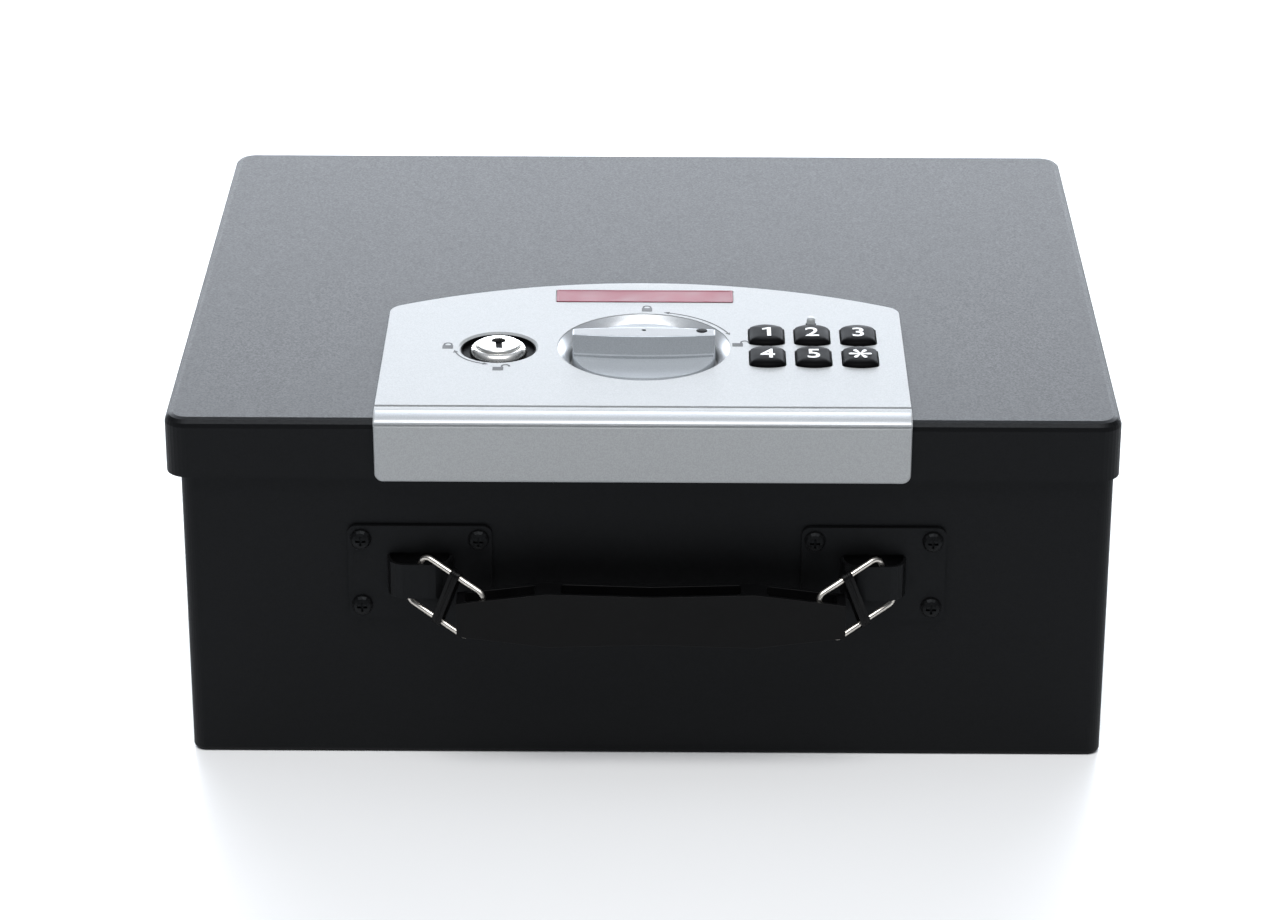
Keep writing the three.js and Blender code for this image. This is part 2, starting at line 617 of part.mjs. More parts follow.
function spindle() {
  const tip = rod(SPINDLE_RADIUS, 95, DISH_FLOOR + 0.6, 0, KNOB_Y, 16);
  const collar = rod(6, 105, 107, 0, KNOB_Y, 20);
  return union(tip, collar);
}

// The crank disc under the bolt; its pin stands at 135 degrees at rest.
function driveCrank() {
  const pinX = -CRANK_RADIUS * Math.SQRT1_2;
  const pinY = KNOB_Y + CRANK_RADIUS * Math.SQRT1_2;
  const disc = rod(13, CAM_Z, CAM_Z + 3, 0, KNOB_Y, 28);
  const pin = rod(CRANK_PIN, CAM_Z + 1, CHASSIS_Z - 0.4, pinX, pinY, 12);
  return cut(union(disc, pin), rod(SPINDLE_RADIUS + GAP, CAM_Z - 1, CAM_Z + 4, 0, KNOB_Y, 16));
}

function boltPlate() {
  const plate = box(-54, 54, -90, -43, BOLT_Z, BOLT_Z + BOLT_THICK);
  const tongues = [-1, 1].map((side) => box(
    side * TONGUE_X - TONGUE_WIDTH / 2, side * TONGUE_X + TONGUE_WIDTH / 2, TONGUE_FRONT, -89,
    BOLT_Z, BOLT_Z + BOLT_THICK,
  ));
  const pinSlotY = KNOB_Y + BOLT_TRAVEL / 2;
  const pinSlot = box(-9.2, 0, pinSlotY - 1.9, pinSlotY + 1.9, BOLT_Z - 1, BOLT_Z + 4);
  const spindleSlot = box(-3.5, 3.5, KNOB_Y - 3.5, KNOB_Y + BOLT_TRAVEL + 3.5, BOLT_Z - 1, BOLT_Z + 4);
  const blockHoles = [0, BOLT_TRAVEL].map((shift) => rod(
    PLUNGER.radius + 0.7, BOLT_Z - 1, BOLT_Z + 4, PLUNGER.x, PLUNGER.y + shift, 14,
  ));
  return cut(union(plate, ...tongues), pinSlot, spindleSlot, ...blockHoles);
}

function chassis() {
  const inset = WORKS.wall + 0.5;
  const outline = roundedRect(-WORKS.x + inset, WORKS.x - inset, WORKS.y0 + inset, WORKS.y1 - inset, 3);
  const plate = prism(outline, CHASSIS_Z, CHASSIS_Z + CHASSIS_THICK);
  const spindleHole = rod(SPINDLE_RADIUS + 0.4, CHASSIS_Z - 1, CHASSIS_Z + 3, 0, KNOB_Y, 16);
  const plungerHole = rod(PLUNGER.radius + 0.5, CHASSIS_Z - 1, CHASSIS_Z + 3, PLUNGER.x, PLUNGER.y, 14);
  return cut(plate, spindleHole, plungerHole);
}

function solenoid() {
  const { x, y } = PLUNGER;
  const z0 = CHASSIS_Z + CHASSIS_THICK + GAP;
  const frame = box(x - 12, x + 12, y - 10, y + 10, z0, z0 + 16);
  return cut(frame, rod(PLUNGER.radius + 0.4, z0 - 1, z0 + 17, x, y, 14));
}

function plunger() {
  return rod(PLUNGER.radius, PLUNGER.bottom, PLUNGER.top, PLUNGER.x, PLUNGER.y, 14);
}

add(lid, 'knob', knob(), 'silverPlastic');
add(lid, 'knob_spindle', spindle(), 'zincSteel');
add(lid, 'drive_crank', driveCrank(), 'zincSteel');
add(lid, 'bolt_plate', boltPlate(), 'zincSteel');
add(lid, 'lock_chassis', chassis(), 'zincSteel');
add(lid, 'solenoid_coil', solenoid(), 'zincSteel');
add(lid, 'solenoid_plunger', plunger(), 'nickelWire');

// ---------------------------------------------------------------- key lock

function lockBarrel() {
  const flange = LID_TOP + GAP;
  return turned([
    [6.5, 118], [BARREL_RADIUS, 118], [BARREL_RADIUS, flange], [10.6, flange], [10.6, 132],
    [8.9, 133.7], [8.5, 133.7], [8.5, 132.2], [6.5, 132.2], [6.5, 118],
  ], KEY_X, KEY_Y, 32);
}

function barrelNut() {
  const z1 = LID_TOP - SHEET - GAP;
  const hex = rod(15, z1 - 3, z1, KEY_X, KEY_Y, 6);
  return cut(hex, rod(BARREL_RADIUS + GAP, z1 - 4, z1 + 1, KEY_X, KEY_Y, 24));
}

// The turning plug, with its keyway open to the front of the face.
function keyPlug() {
  const body = turned([
    [0, 109], [4, 109], [4, 116.5], [6.2, 116.5], [6.2, 132.5], [PLUG_HEAD_RADIUS, 132.5],
    [PLUG_HEAD_RADIUS, PLUG_HEAD_TOP - 0.5], [PLUG_HEAD_RADIUS - 0.5, PLUG_HEAD_TOP], [0, PLUG_HEAD_TOP],
  ], KEY_X, KEY_Y, 28);
  const stem = box(KEY_X - 1.1, KEY_X + 1.1, KEY_Y - 5, KEY_Y + 4, 120, PLUG_HEAD_TOP + 1);
  const ward = box(KEY_X - 2.3, KEY_X + 2.3, KEY_Y + 1, KEY_Y + 3.2, 120, PLUG_HEAD_TOP + 1);
  return cut(body, stem, ward);
}

function keyCam() {
  const arm = prism(roundedRect(KEY_X - 6, KEY_X + 6, KEY_Y - 24, KEY_Y + 7, 5), 112, 114, 3);
  return cut(arm, rod(4 + GAP, 111, 115, KEY_X, KEY_Y, 20));
}

add(lid, 'lock_barrel', lockBarrel(), 'chrome');
add(lid, 'barrel_nut', barrelNut(), 'zincSteel');
add(lid, 'key_plug', keyPlug(), 'chrome');
add(lid, 'key_cam', keyCam(), 'zincSteel');

// ---------------------------------------------------------------- keypad and power

const BUTTON_TRAVEL = 1.2;
const FLANGE_RISE = 1.4;
const BUTTON_STOP = COVER_TOP - COVER_PLATE - GAP;      // top of the flange that holds a key in
const BOARD_TOP = BUTTON_STOP - FLANGE_RISE - BUTTON_TRAVEL - GAP;

function button(x, y) {
  const flange = prism(buttonOutline(x, y, 0.8), BUTTON_STOP - FLANGE_RISE, BUTTON_STOP, 3);
  const stem = prism(buttonOutline(x, y, 0), BUTTON_STOP - 0.5, BUTTON_TOP - 0.8, 3);
  const crown = prism(buttonOutline(x, y, -0.9), BUTTON_TOP - 1, BUTTON_TOP, 3);
  return union(flange, stem, crown);
}

BUTTON_ROWS.forEach((y, row) => {
  BUTTON_COLUMNS.forEach((x, column) => {
    add(lid, BUTTON_NAMES[row][column], button(x, y), 'rubber');
  });
});

function keypadBoard() {
  return box(34.5, 88, -94, -44, BOARD_TOP - 1.6, BOARD_TOP);
}

// The plastic box under the lid that encloses the lock works and the batteries.
function worksCover() {
  const { x, y0, y1, z, wall } = WORKS;
  const top = PLUG_BOTTOM - GAP;
  const outside = prism(roundedRect(-x, x, y0, y1, 4), z, top);
  const inside = prism(roundedRect(-x + wall, x - wall, y0 + wall, y1 - wall, 2), z + wall, top + 1);
  const tongueSlots = [-1, 1].map((side) => box(
    side * TONGUE_X - TONGUE_WIDTH / 2 - 0.6, side * TONGUE_X + TONGUE_WIDTH / 2 + 0.6, y0 - 1, y0 + 3,
    BOLT_Z - 0.6, BOLT_Z + BOLT_THICK + 0.6,
  ));
  const batteryMouth = box(
    BATTERY_TRAY.x0 + 2, BATTERY_TRAY.x1 - 2, BATTERY_TRAY.y0 + 2, BATTERY_TRAY.y1 - 2, z - 1, z + wall + 1,
  );
  const rail = (side, yWall) => prismX(polygon([
    [yWall, z + 0.5], [yWall, z - 3.4], [yWall + side * 3, z - 3.4], [yWall + side * 3, z - 2.2],
    [yWall + side * 1.5, z - 2.2], [yWall + side * 1.5, z + 0.5],
  ]), -93, 26);
  const rails = [rail(1, BATTERY_TRAY.y0 - 3), rail(-1, BATTERY_TRAY.y1 + 3)];
  return cut(union(cut(outside, inside), ...rails), ...tongueSlots, batteryMouth);
}

function batteryTray() {
  const { x0, x1, y0, y1, z0, z1 } = BATTERY_TRAY;
  const bottom = z0 + WORKS.wall;
  const outside = box(x0, x1, y0, y1, bottom, z1);
  const inside = box(x0 + 1.5, x1 - 1.5, y0 + 1.2, y1 - 1.2, bottom - 1, z1 - 1);
  return cut(outside, inside);
}

function battery(index) {
  const pitch = 2 * BATTERY_RADIUS + 0.6;
  const y = (BATTERY_TRAY.y0 + BATTERY_TRAY.y1) / 2 + (index - 1.5) * pitch;
  const middle = (BATTERY_TRAY.x0 + BATTERY_TRAY.x1) / 2;
  const z = BATTERY_TRAY.z1 - 1.4 - BATTERY_RADIUS;
  const flip = index % 2 === 0 ? 1 : -1;
  const can = rodX(BATTERY_RADIUS, middle - BATTERY_LENGTH / 2, middle + BATTERY_LENGTH / 2, y, z, 16);
  const end = middle + flip * BATTERY_LENGTH / 2;
  return union(can, rodX(2.6, Math.min(end, end + flip), Math.max(end, end + flip), y, z, 10));
}

function batteryDoor() {
  const { x0, x1, y0, y1 } = BATTERY_TRAY;
  const plate = box(x0 - 1, x1 + 1, y0 - 1.2, y1 + 1.2, WORKS.z - 1.9, WORKS.z - GAP);
  const grips = [0, 1, 2].map((i) => box(
    x1 - 8 + 3 * i, x1 - 7 + 3 * i, -72, -59, WORKS.z - 2.6, WORKS.z - 1.5,
  ));
  return union(plate, ...grips);
}

add(lid, 'keypad_board', keypadBoard(), 'boardGreen');
add(lid, 'works_cover', worksCover(), 'blackPlastic');
add(lid, 'battery_tray', batteryTray(), 'blackPlastic');
for (let index = 0; index < 4; index += 1) {
  add(lid, `battery_${index + 1}`, battery(index), 'batteryBlue');
}
add(lid, 'battery_door', batteryDoor(), 'blackPlastic');

// ---------------------------------------------------------------- carry handle

const PLATE_BACK = FRONT_FACE - GAP;
const PLATE_FACE = PLATE_BACK - SHEET;

// Half of the bridge's arched section, seen from above, as [x, depth] points.
function archPoints(half, depth) {
  const count = 12;
  return Array.from({ length: count + 1 }, (_, i) => {
    const x = half * Math.cos(Math.PI * i / count);
    return [x, depth * Math.sqrt(1 - Math.abs(x / half) ** 5)];
  });
}

// A steel plate whose middle strip is pushed out into a bridge for the ring.
function handlePlate(centre) {
  const halfX = PLATE_WIDTH / 2;
  const halfZ = PLATE_HEIGHT / 2;
  const shape = roundedRect(centre - halfX, centre + halfX, PLATE_Z - halfZ, PLATE_Z + halfZ, 3);
  const plate = prismY(shape, PLATE_FACE, PLATE_BACK, 3);
  const strip = (half, depth, reach) => prism(
    polygon(archPoints(half, depth).map(([x, out]) => [centre + x, PLATE_BACK - out])),
    PLATE_Z - BRIDGE_HEIGHT / 2 - reach, PLATE_Z + BRIDGE_HEIGHT / 2 + reach,
  );
  const bridge = strip(BRIDGE_HALF, BRIDGE_DEPTH + BRIDGE_SHEET, 0);
  const tunnel = strip(BRIDGE_HALF - BRIDGE_SHEET, BRIDGE_DEPTH, 1);
  const window = box(
    centre - BRIDGE_HALF + SHEET, centre + BRIDGE_HALF - SHEET, PLATE_FACE - 0.5, PLATE_BACK + 1,
    PLATE_Z - BRIDGE_HEIGHT / 2, PLATE_Z + BRIDGE_HEIGHT / 2,
  );
  return cut(union(plate, bridge), tunnel, window, ...screwHoles);
}

// A pan-head screw with a cross recess, its head on the plate.
function plateScrew({ x, z }) {
  const face = PLATE_FACE - GAP;
  const head = [[0, 2.3], [1.6, 2.15], [2.9, 1.6], [3.6, 0.7], [3.7, 0]];
  const profile = [...head, [SCREW_SHANK, 0], [SCREW_SHANK, face - FRONT_FACE - SHEET], [0, face - FRONT_FACE - SHEET]];
  const blank = turned(profile.reverse(), 0, 0, 14);
  const cross = union(box(-1.8, 1.8, -0.4, 0.4, 1.1, 3), box(-0.4, 0.4, -1.8, 1.8, 1.1, 3));
  return cut(blank, cross).rotate([90, 0, 0]).translate([x, face, z]);
}

add(documentBox, 'handle_plate_left', handlePlate(-PLATE_X), 'powderBlack');
add(documentBox, 'handle_plate_right', handlePlate(PLATE_X), 'powderBlack');
screwPlaces.forEach((place, index) => {
  add(documentBox, `handle_screw_${index + 1}`, plateScrew(place), 'powderBlack');
});

// A rectangular wire ring in its own plane: X along the ring, Z up, pivot wire at X = 0.
function wireRing() {
  const h = RING_HEIGHT / 2;
  const middle = RING_LENGTH / 2;
  const lap = 0.5;
  const near = [[middle + lap, h], [0, h], [0, -h], [middle + lap, -h]];
  const far = [[middle, h], [RING_LENGTH, h], [RING_LENGTH, -h], [middle, -h]];
  const halves = [near, far].map((points) => wire(
    points.map(([x, z]) => new THREE.Vector3(x, 0, z)), WIRE_RADIUS, 3, 20,
  ));
  return union(...halves);
}

// A strap closed round both long wires of the ring.
function ringClip() {
  const h = RING_HEIGHT / 2;
  const inner = WIRE_RADIUS + 0.2;
  const outer = inner + 0.5;
  const outside = prismX(roundedRect(-outer, outer, -h - outer, h + outer, outer - 0.01), 0, CLIP_WIDTH);
  const inside = prismX(roundedRect(-inner, inner, -h - inner, h + inner, inner - 0.01), -1, CLIP_WIDTH + 1);
  return cut(outside, inside).translate([CLIP_PLACE - CLIP_WIDTH / 2, 0, 0]);
}

// Bow-tie bar: slim ends, two crests and a slimmer middle, hollowed from above.
function handleGrip() {
  const ends = 6.2;
  const crest = 10.2;
  const waist = 9.2;
  const crestX = 36;
  const shape = polygon([
    [-GRIP_HALF, -ends], [-crestX, -crest], [0, -waist], [crestX, -crest], [GRIP_HALF, -ends],
    [GRIP_HALF, ends], [crestX, crest], [0, waist], [-crestX, crest], [-GRIP_HALF, ends],
  ]);
  const bar = prismY(shape, GRIP_FRONT, GRIP_REAR);
  const front = GRIP_FRONT + GRIP_WALL;
  const rear = GRIP_REAR - GRIP_WALL;
  const endPockets = [-1, 1].map((side) => {
    const x0 = Math.min(side * 40, side * (GRIP_HALF - 3));
    const x1 = Math.max(side * 40, side * (GRIP_HALF - 3));
    return box(x0, x1, front, rear, -20, 20);
  });
  const middlePocket = box(-31, 31, front, rear, -waist + 2, 20);
  return cut(bar, ...endPockets, middlePocket);
}

const handle = new THREE.Group();
handle.position.x = HANDLE_OFFSET_X;
documentBox.add(handle);

for (const [name, side] of [['left', 1], ['right', -1]]) {
  const place = new THREE.Group();
  place.position.set(-side * RING_PIVOT_X, RING_PIVOT_Y, RING_PIVOT_Z);
  place.rotation.order = 'ZYX';
  const yaw = side === 1 ? -RING_YAW : RING_YAW - 180;
  place.rotation.set(0, degrees(RING_DROOP), degrees(yaw));
  handle.add(place);
  add(place, `handle_ring_${name}`, wireRing(), 'nickelWire');
  add(place, `ring_clip_${name}`, ringClip(), 'blackPlastic');
}

add(handle, 'handle_grip', handleGrip(), 'blackPlastic').position.z = GRIP_Z;

export default documentBox;
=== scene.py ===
# Fireproof document box: the camera, the studio, and the looks and finer pieces over the frame.
# Lengths are metres. +Z is up, +X is to the right and -Y is the front.
import math

import bmesh
import bpy
from mathutils import Matrix, Vector
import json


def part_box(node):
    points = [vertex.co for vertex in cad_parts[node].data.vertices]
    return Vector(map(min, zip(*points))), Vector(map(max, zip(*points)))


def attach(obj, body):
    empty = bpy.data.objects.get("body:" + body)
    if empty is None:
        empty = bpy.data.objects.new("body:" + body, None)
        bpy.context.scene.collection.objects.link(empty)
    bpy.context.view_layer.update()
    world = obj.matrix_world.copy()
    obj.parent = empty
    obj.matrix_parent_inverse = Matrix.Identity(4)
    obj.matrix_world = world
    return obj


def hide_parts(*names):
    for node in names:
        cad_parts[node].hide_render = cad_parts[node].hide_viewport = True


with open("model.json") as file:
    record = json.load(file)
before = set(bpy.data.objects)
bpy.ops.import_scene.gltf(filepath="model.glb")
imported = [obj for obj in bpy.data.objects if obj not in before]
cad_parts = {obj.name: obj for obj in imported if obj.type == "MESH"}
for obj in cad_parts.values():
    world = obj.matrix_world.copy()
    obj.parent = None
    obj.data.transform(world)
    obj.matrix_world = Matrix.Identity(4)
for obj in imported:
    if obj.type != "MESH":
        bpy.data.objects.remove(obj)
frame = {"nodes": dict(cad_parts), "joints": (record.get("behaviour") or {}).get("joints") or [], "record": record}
bpy.context.scene.view_settings.view_transform = "Standard"
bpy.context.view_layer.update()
nodes = frame["nodes"]

MM = 0.001


# ---------------------------------------------------------------- camera, floor and light

FOCAL = 114.39                     # millimetres, as the sensor's width is
SENSOR = 36
CAMERA_PLACE = Vector((0.00681, -1.4085, 0.6936))
CAMERA_YAW = -0.0072               # radians: turned left of straight ahead
CAMERA_PITCH = 0.4252              # looking down
CAMERA_ROLL = 0.0017


def make_camera():
    data = bpy.data.cameras.new("camera")
    data.sensor_width = SENSOR
    data.lens = FOCAL
    data.clip_end = 20
    forward = Vector((
        math.sin(CAMERA_YAW) * math.cos(CAMERA_PITCH),
        math.cos(CAMERA_YAW) * math.cos(CAMERA_PITCH),
        -math.sin(CAMERA_PITCH),
    ))
    right = Vector((math.cos(CAMERA_YAW), -math.sin(CAMERA_YAW), 0))
    up = right.cross(forward)
    rolled_right = math.cos(CAMERA_ROLL) * right + math.sin(CAMERA_ROLL) * up
    rolled_up = -math.sin(CAMERA_ROLL) * right + math.cos(CAMERA_ROLL) * up
    turn = Matrix((rolled_right, rolled_up, -forward)).transposed().to_4x4()
    camera = bpy.data.objects.new("camera", data)
    camera.matrix_world = Matrix.Translation(CAMERA_PLACE) @ turn
    bpy.context.collection.objects.link(camera)
    bpy.context.scene.camera = camera


def area_light(name, place, aim, size, power, size_y=None):
    data = bpy.data.lights.new(name, "AREA")
    data.energy = power
    data.shape = "RECTANGLE"
    data.size = size
    data.size_y = size_y or size
    light = bpy.data.objects.new(name, data)
    light.location = place
    light.rotation_euler = (Vector(aim) - Vector(place)).to_track_quat("-Z", "Y").to_euler()
    bpy.context.collection.objects.link(light)


SKY_BASE = 0.09                    # the dark room behind the camera
SKY_BACKDROP = 7.8                 # the lit backdrop, low behind the object
SKY_BACKDROP_SPAN = (0.71, 0.93)   # where along +Y it fades in
SKY_ZENITH = 0.5                   # the soft ceiling bounce
SKY_ZENITH_SPAN = (0.25, 0.9)      # where along +Z it fades in
SKY_TINT = (0.93, 0.985, 1.065)
FLOOR_REACH = 12                   # half the floor's side


def sky_term(tree, socket, span, strength):
    """A smooth ramp along one direction of the sky, times a strength."""
    fade = tree.nodes.new("ShaderNodeMapRange")
    fade.interpolation_type = "SMOOTHSTEP"
    fade.inputs["From Min"].default_value, fade.inputs["From Max"].default_value = span
    fade.inputs["To Max"].default_value = strength
    tree.links.new(socket, fade.inputs["Value"])
    return fade.outputs["Result"]


def make_sky():
    """A studio sky: a bright backdrop behind the object, a soft ceiling, and a dark room in front."""
    world = bpy.data.worlds.new("studio")
    bpy.context.scene.world = world
    world.use_nodes = True
    tree = world.node_tree
    direction = tree.nodes.new("ShaderNodeTexCoord").outputs["Generated"]
    split = tree.nodes.new("ShaderNodeSeparateXYZ")
    tree.links.new(direction, split.inputs["Vector"])
    backdrop = sky_term(tree, split.outputs["Y"], SKY_BACKDROP_SPAN, SKY_BACKDROP)
    ceiling = sky_term(tree, split.outputs["Z"], SKY_ZENITH_SPAN, SKY_ZENITH)
    total = tree.nodes.new("ShaderNodeMath")
    total.operation = "ADD"
    tree.links.new(backdrop, total.inputs[0])
    tree.links.new(ceiling, total.inputs[1])
    lifted = tree.nodes.new("ShaderNodeMath")
    lifted.operation = "ADD"
    lifted.inputs[1].default_value = SKY_BASE
    tree.links.new(total.outputs["Value"], lifted.inputs[0])
    background = tree.nodes["Background"]
    background.inputs["Color"].default_value = (*SKY_TINT, 1)
    tree.links.new(lifted.outputs["Value"], background.inputs["Strength"])


def make_studio():
    make_sky()
    area_light("light_over", (0.0, -0.80, 1.5), (0, -0.1, 0.1), 1.6, 17, 0.6)
    area_light("light_key", (0.0, -0.58, 1.45), (0, -0.05, 0.13), 0.4, 3.4)
    mesh = bpy.data.meshes.new("floor")
    corners = [(x * FLOOR_REACH, y * FLOOR_REACH, 0) for x, y in ((-1, -1), (1, -1), (1, 1), (-1, 1))]
    mesh.from_pydata(corners, [], [(0, 1, 2, 3)])
    floor = bpy.data.objects.new("floor", mesh)
    bpy.context.collection.objects.link(floor)
    floor.data.materials.append(floor_material())


# ---------------------------------------------------------------- materials

class Nodes:
    """A short way to build a node tree for one material."""

    def __init__(self, name, color, roughness, metallic=0.0):
        self.material = bpy.data.materials.new(name)
        self.material.use_nodes = True
        self.tree = self.material.node_tree
        self.shader = self.tree.nodes["Principled BSDF"]
        self.shader.inputs["Base Color"].default_value = (*color, 1)
        self.shader.inputs["Roughness"].default_value = roughness
        self.shader.inputs["Metallic"].default_value = metallic
        self.place = self.tree.nodes.new("ShaderNodeTexCoord").outputs["Object"]

    def noise(self, scale, detail=3.0, rough=0.5):
        node = self.tree.nodes.new("ShaderNodeTexNoise")
        node.inputs["Scale"].default_value = scale
        node.inputs["Detail"].default_value = detail
        node.inputs["Roughness"].default_value = rough
        self.tree.links.new(self.place, node.inputs["Vector"])
        return node.outputs["Fac"]

    def ramp(self, factor, low, high, start=0.3, end=0.7):
        node = self.tree.nodes.new("ShaderNodeMapRange")
        node.inputs["From Min"].default_value = start
        node.inputs["From Max"].default_value = end
        node.inputs["To Min"].default_value = low
        node.inputs["To Max"].default_value = high
        self.tree.links.new(factor, node.inputs["Value"])
        return node.outputs["Result"]

    def blend(self, factor, first, second):
        node = self.tree.nodes.new("ShaderNodeMix")
        node.data_type = "RGBA"
        for socket, value in (("A", first), ("B", second)):
            target = next(i for i in node.inputs if i.name == socket and i.type == "RGBA")
            if isinstance(value, tuple):
                target.default_value = (*value, 1)
            else:
                self.tree.links.new(value, target)
        factor_input = next(i for i in node.inputs if i.name == "Factor" and i.type == "VALUE")
        self.tree.links.new(factor, factor_input)
        return next(o for o in node.outputs if o.type == "RGBA")

    def color(self, socket):
        self.tree.links.new(socket, self.shader.inputs["Base Color"])

    def roughness(self, socket):
        self.tree.links.new(socket, self.shader.inputs["Roughness"])

    def bump(self, height, strength, distance, after=None):
        node = self.tree.nodes.new("ShaderNodeBump")
        node.inputs["Strength"].default_value = strength
        node.inputs["Distance"].default_value = distance
        self.tree.links.new(height, node.inputs["Height"])
        if after is not None:
            self.tree.links.new(after, node.inputs["Normal"])
        self.tree.links.new(node.outputs["Normal"], self.shader.inputs["Normal"])
        return node.outputs["Normal"]


def floor_material():
    paper = Nodes("floor_white", (0.93, 0.93, 0.93), 0.35)
    paper.roughness(paper.ramp(paper.noise(6), 0.3, 0.4))
    return paper.material


def powder_coat(name, color, rough):
    """Fine textured powder coat: a tight grain, a slow orange peel and a faint handling sheen."""
    coat = Nodes(name, color, rough)
    coat.shader.inputs["Specular IOR Level"].default_value = 0.15
    darker = tuple(0.82 * c for c in color)
    lighter = tuple(1.18 * c for c in color)
    coat.shader.inputs["Specular Tint"].default_value = (0.95, 1.0, 1.06, 1)
    coat.color(coat.blend(coat.ramp(coat.noise(1800, 2), 0, 1, 0.35, 0.65), darker, lighter))
    coat.roughness(coat.ramp(coat.noise(1500, 2), rough - 0.06, rough + 0.06))
    grain = coat.bump(coat.noise(2300, 3, 0.6), 0.22, 0.00010)
    coat.bump(coat.noise(900, 2), 0.10, 0.00008, grain)
    return coat.material


def moulded(name, color, rough, grain=900, depth=0.00008, strength=0.25, shine=0.5):
    """Moulded plastic or rubber: a fine spark-eroded grain and slight mottling."""
    plastic = Nodes(name, color, rough)
    plastic.shader.inputs["Specular IOR Level"].default_value = shine
    darker = tuple(0.88 * c for c in color)
    lighter = tuple(min(1.0, 1.10 * c) for c in color)
    plastic.color(plastic.blend(plastic.ramp(plastic.noise(60, 4), 0, 1), darker, lighter))
    plastic.roughness(plastic.ramp(plastic.noise(120, 3), rough - 0.06, rough + 0.06))
    plastic.bump(plastic.noise(grain, 2), strength, depth)
    return plastic.material


def metallic_paint(name, low, high, metallic, shine, rough=0.30):
    """Silver paint on moulded plastic: fine flake under a satin clear coat."""
    paint = Nodes(name, low, 0.32, metallic)
    paint.color(paint.blend(paint.ramp(paint.noise(2600, 1), 0, 1, 0.35, 0.65), low, high))
    paint.roughness(paint.ramp(paint.noise(240, 2), rough, rough + 0.05))
    paint.bump(paint.noise(420, 2), 0.06, 0.00015)
    paint.shader.inputs["Specular IOR Level"].default_value = shine
    return paint.material


def plated(name, color, rough, scratches=260, depth=0.00003):
    """Plated steel: hairline scratches and a slow unevenness in the shine."""
    metal = Nodes(name, color, rough, 1.0)
    metal.roughness(metal.ramp(metal.noise(scratches, 4, 0.6), max(0.03, rough - 0.05), rough + 0.10))
    duller = tuple(0.82 * c for c in color)
    metal.color(metal.blend(metal.ramp(metal.noise(90, 3), 0, 1), duller, color))
    metal.bump(metal.noise(scratches, 2), 0.04, depth)
    return metal.material


def cast_fill():
    """Cast fireproof fill: chalky, with small pits."""
    fill = Nodes("cast_fill", (0.74, 0.71, 0.65), 0.95)
    fill.color(fill.blend(fill.ramp(fill.noise(160, 5), 0, 1), (0.62, 0.59, 0.53), (0.80, 0.78, 0.72)))
    fill.bump(fill.noise(420, 5, 0.7), 0.6, 0.0006)
    return fill.material


LOOKS = {
    "powder_black": powder_coat("powder_black", (0.0022, 0.0022, 0.0023), 0.47),
    "silver_plastic": metallic_paint("silver_paint", (0.328, 0.339, 0.345), (0.38, 0.392, 0.40), 0.0, 0.08),
    # Brighter, more metallic copy of the cover's silver paint, laid on the dish's slope: partly rendered
    # reflection, partly painted highlight.
    "silver_highlight_satin": metallic_paint("dish_highlight_paint", (0.49, 0.505, 0.52), (0.55, 0.565, 0.58), 0.7, 0.3),
    # The same brighter copy, rougher, laid on the cover's front roll: partly rendered reflection, partly painted
    # highlight.
    "silver_bead_highlight": metallic_paint("bead_highlight_paint", (0.49, 0.505, 0.52), (0.55, 0.565, 0.58), 0.7, 0.3, 0.44),
    # Darker copy of the silver paint for the finger bar's top: painted shade.
    "silver_shaded_top": metallic_paint("bar_top_shade_paint", (0.265, 0.275, 0.285), (0.305, 0.315, 0.325), 0.0, 0.08),
    "silver_knob": metallic_paint("knob_paint", (0.335, 0.358, 0.382), (0.39, 0.415, 0.44), 0.15, 0.3),
    "chrome": plated("chrome_plate", (0.80, 0.79, 0.76), 0.24, 120, 0.00001),
    "nickel_wire": plated("nickel_plate", (0.72, 0.68, 0.62), 0.3, 90, 0.00001),
    "zinc_steel": plated("zinc_plate", (0.52, 0.55, 0.58), 0.36),
    "black_plastic": moulded("black_plastic", (0.002, 0.002, 0.0022), 0.42, shine=0.12),
    "liner_grey": moulded("liner_plastic", (0.045, 0.047, 0.05), 0.55),
    "rubber": moulded("key_rubber", (0.0035, 0.0035, 0.004), 0.45, 1500, 0.00003, 0.15, 0.018),
    "plaster": cast_fill(),
    "badge_red": moulded("badge_print", (0.25, 0.062, 0.085), 0.45, 1800, 0.00003, 0.2, 0.12),
    "lens": moulded("lens_grey", (0.42, 0.44, 0.45), 0.25, 700, 0.00002),
    "board_green": moulded("board_mask", (0.02, 0.09, 0.045), 0.4),
    "battery_blue": moulded("cell_sleeve", (0.03, 0.055, 0.13), 0.3),
    "print_white": moulded("print_white", (0.80, 0.80, 0.80), 0.5, 1600, 0.00002),
    "print_grey": moulded("print_grey", (0.05, 0.052, 0.055), 0.5, 1600, 0.00002, 0.25, 0.15),
}


# ---------------------------------------------------------------- mesh helpers

LID_SHIFT = -1.5 * MM              # the lid group's side play
COVER_LOW, COVER_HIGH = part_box("lock_cover")
COVER_HALF_X = (COVER_HIGH.x - COVER_LOW.x) / 2
COVER_TOP = COVER_LOW.z + 24.5 * MM
COVER_FRONT = COVER_LOW.y


def piece_from(name, bm, look, body, stands_for=()):
    """Makes a piece from a bmesh, gives it a look, and lets it ride on a body."""
    mesh = bpy.data.meshes.new(name)
    bm.normal_update()
    bm.to_mesh(mesh)
    bm.free()
    return piece_of_mesh(name, mesh, look, body, stands_for)


def piece_of_mesh(name, mesh, look, body, stands_for=()):
    piece = bpy.data.objects.new(name, mesh)
    bpy.context.collection.objects.link(piece)
    mesh.materials.clear()
    mesh.materials.append(LOOKS[look])
    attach(piece, body)
    if stands_for:
        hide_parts(*stands_for)
    return piece


def shade_smooth(piece, angle=30):
    """Smooth shading with creases where the faces meet more sharply than the angle."""
    mesh = piece.data
    mesh.shade_smooth()
    mesh.set_sharp_from_angle(angle=math.radians(angle))


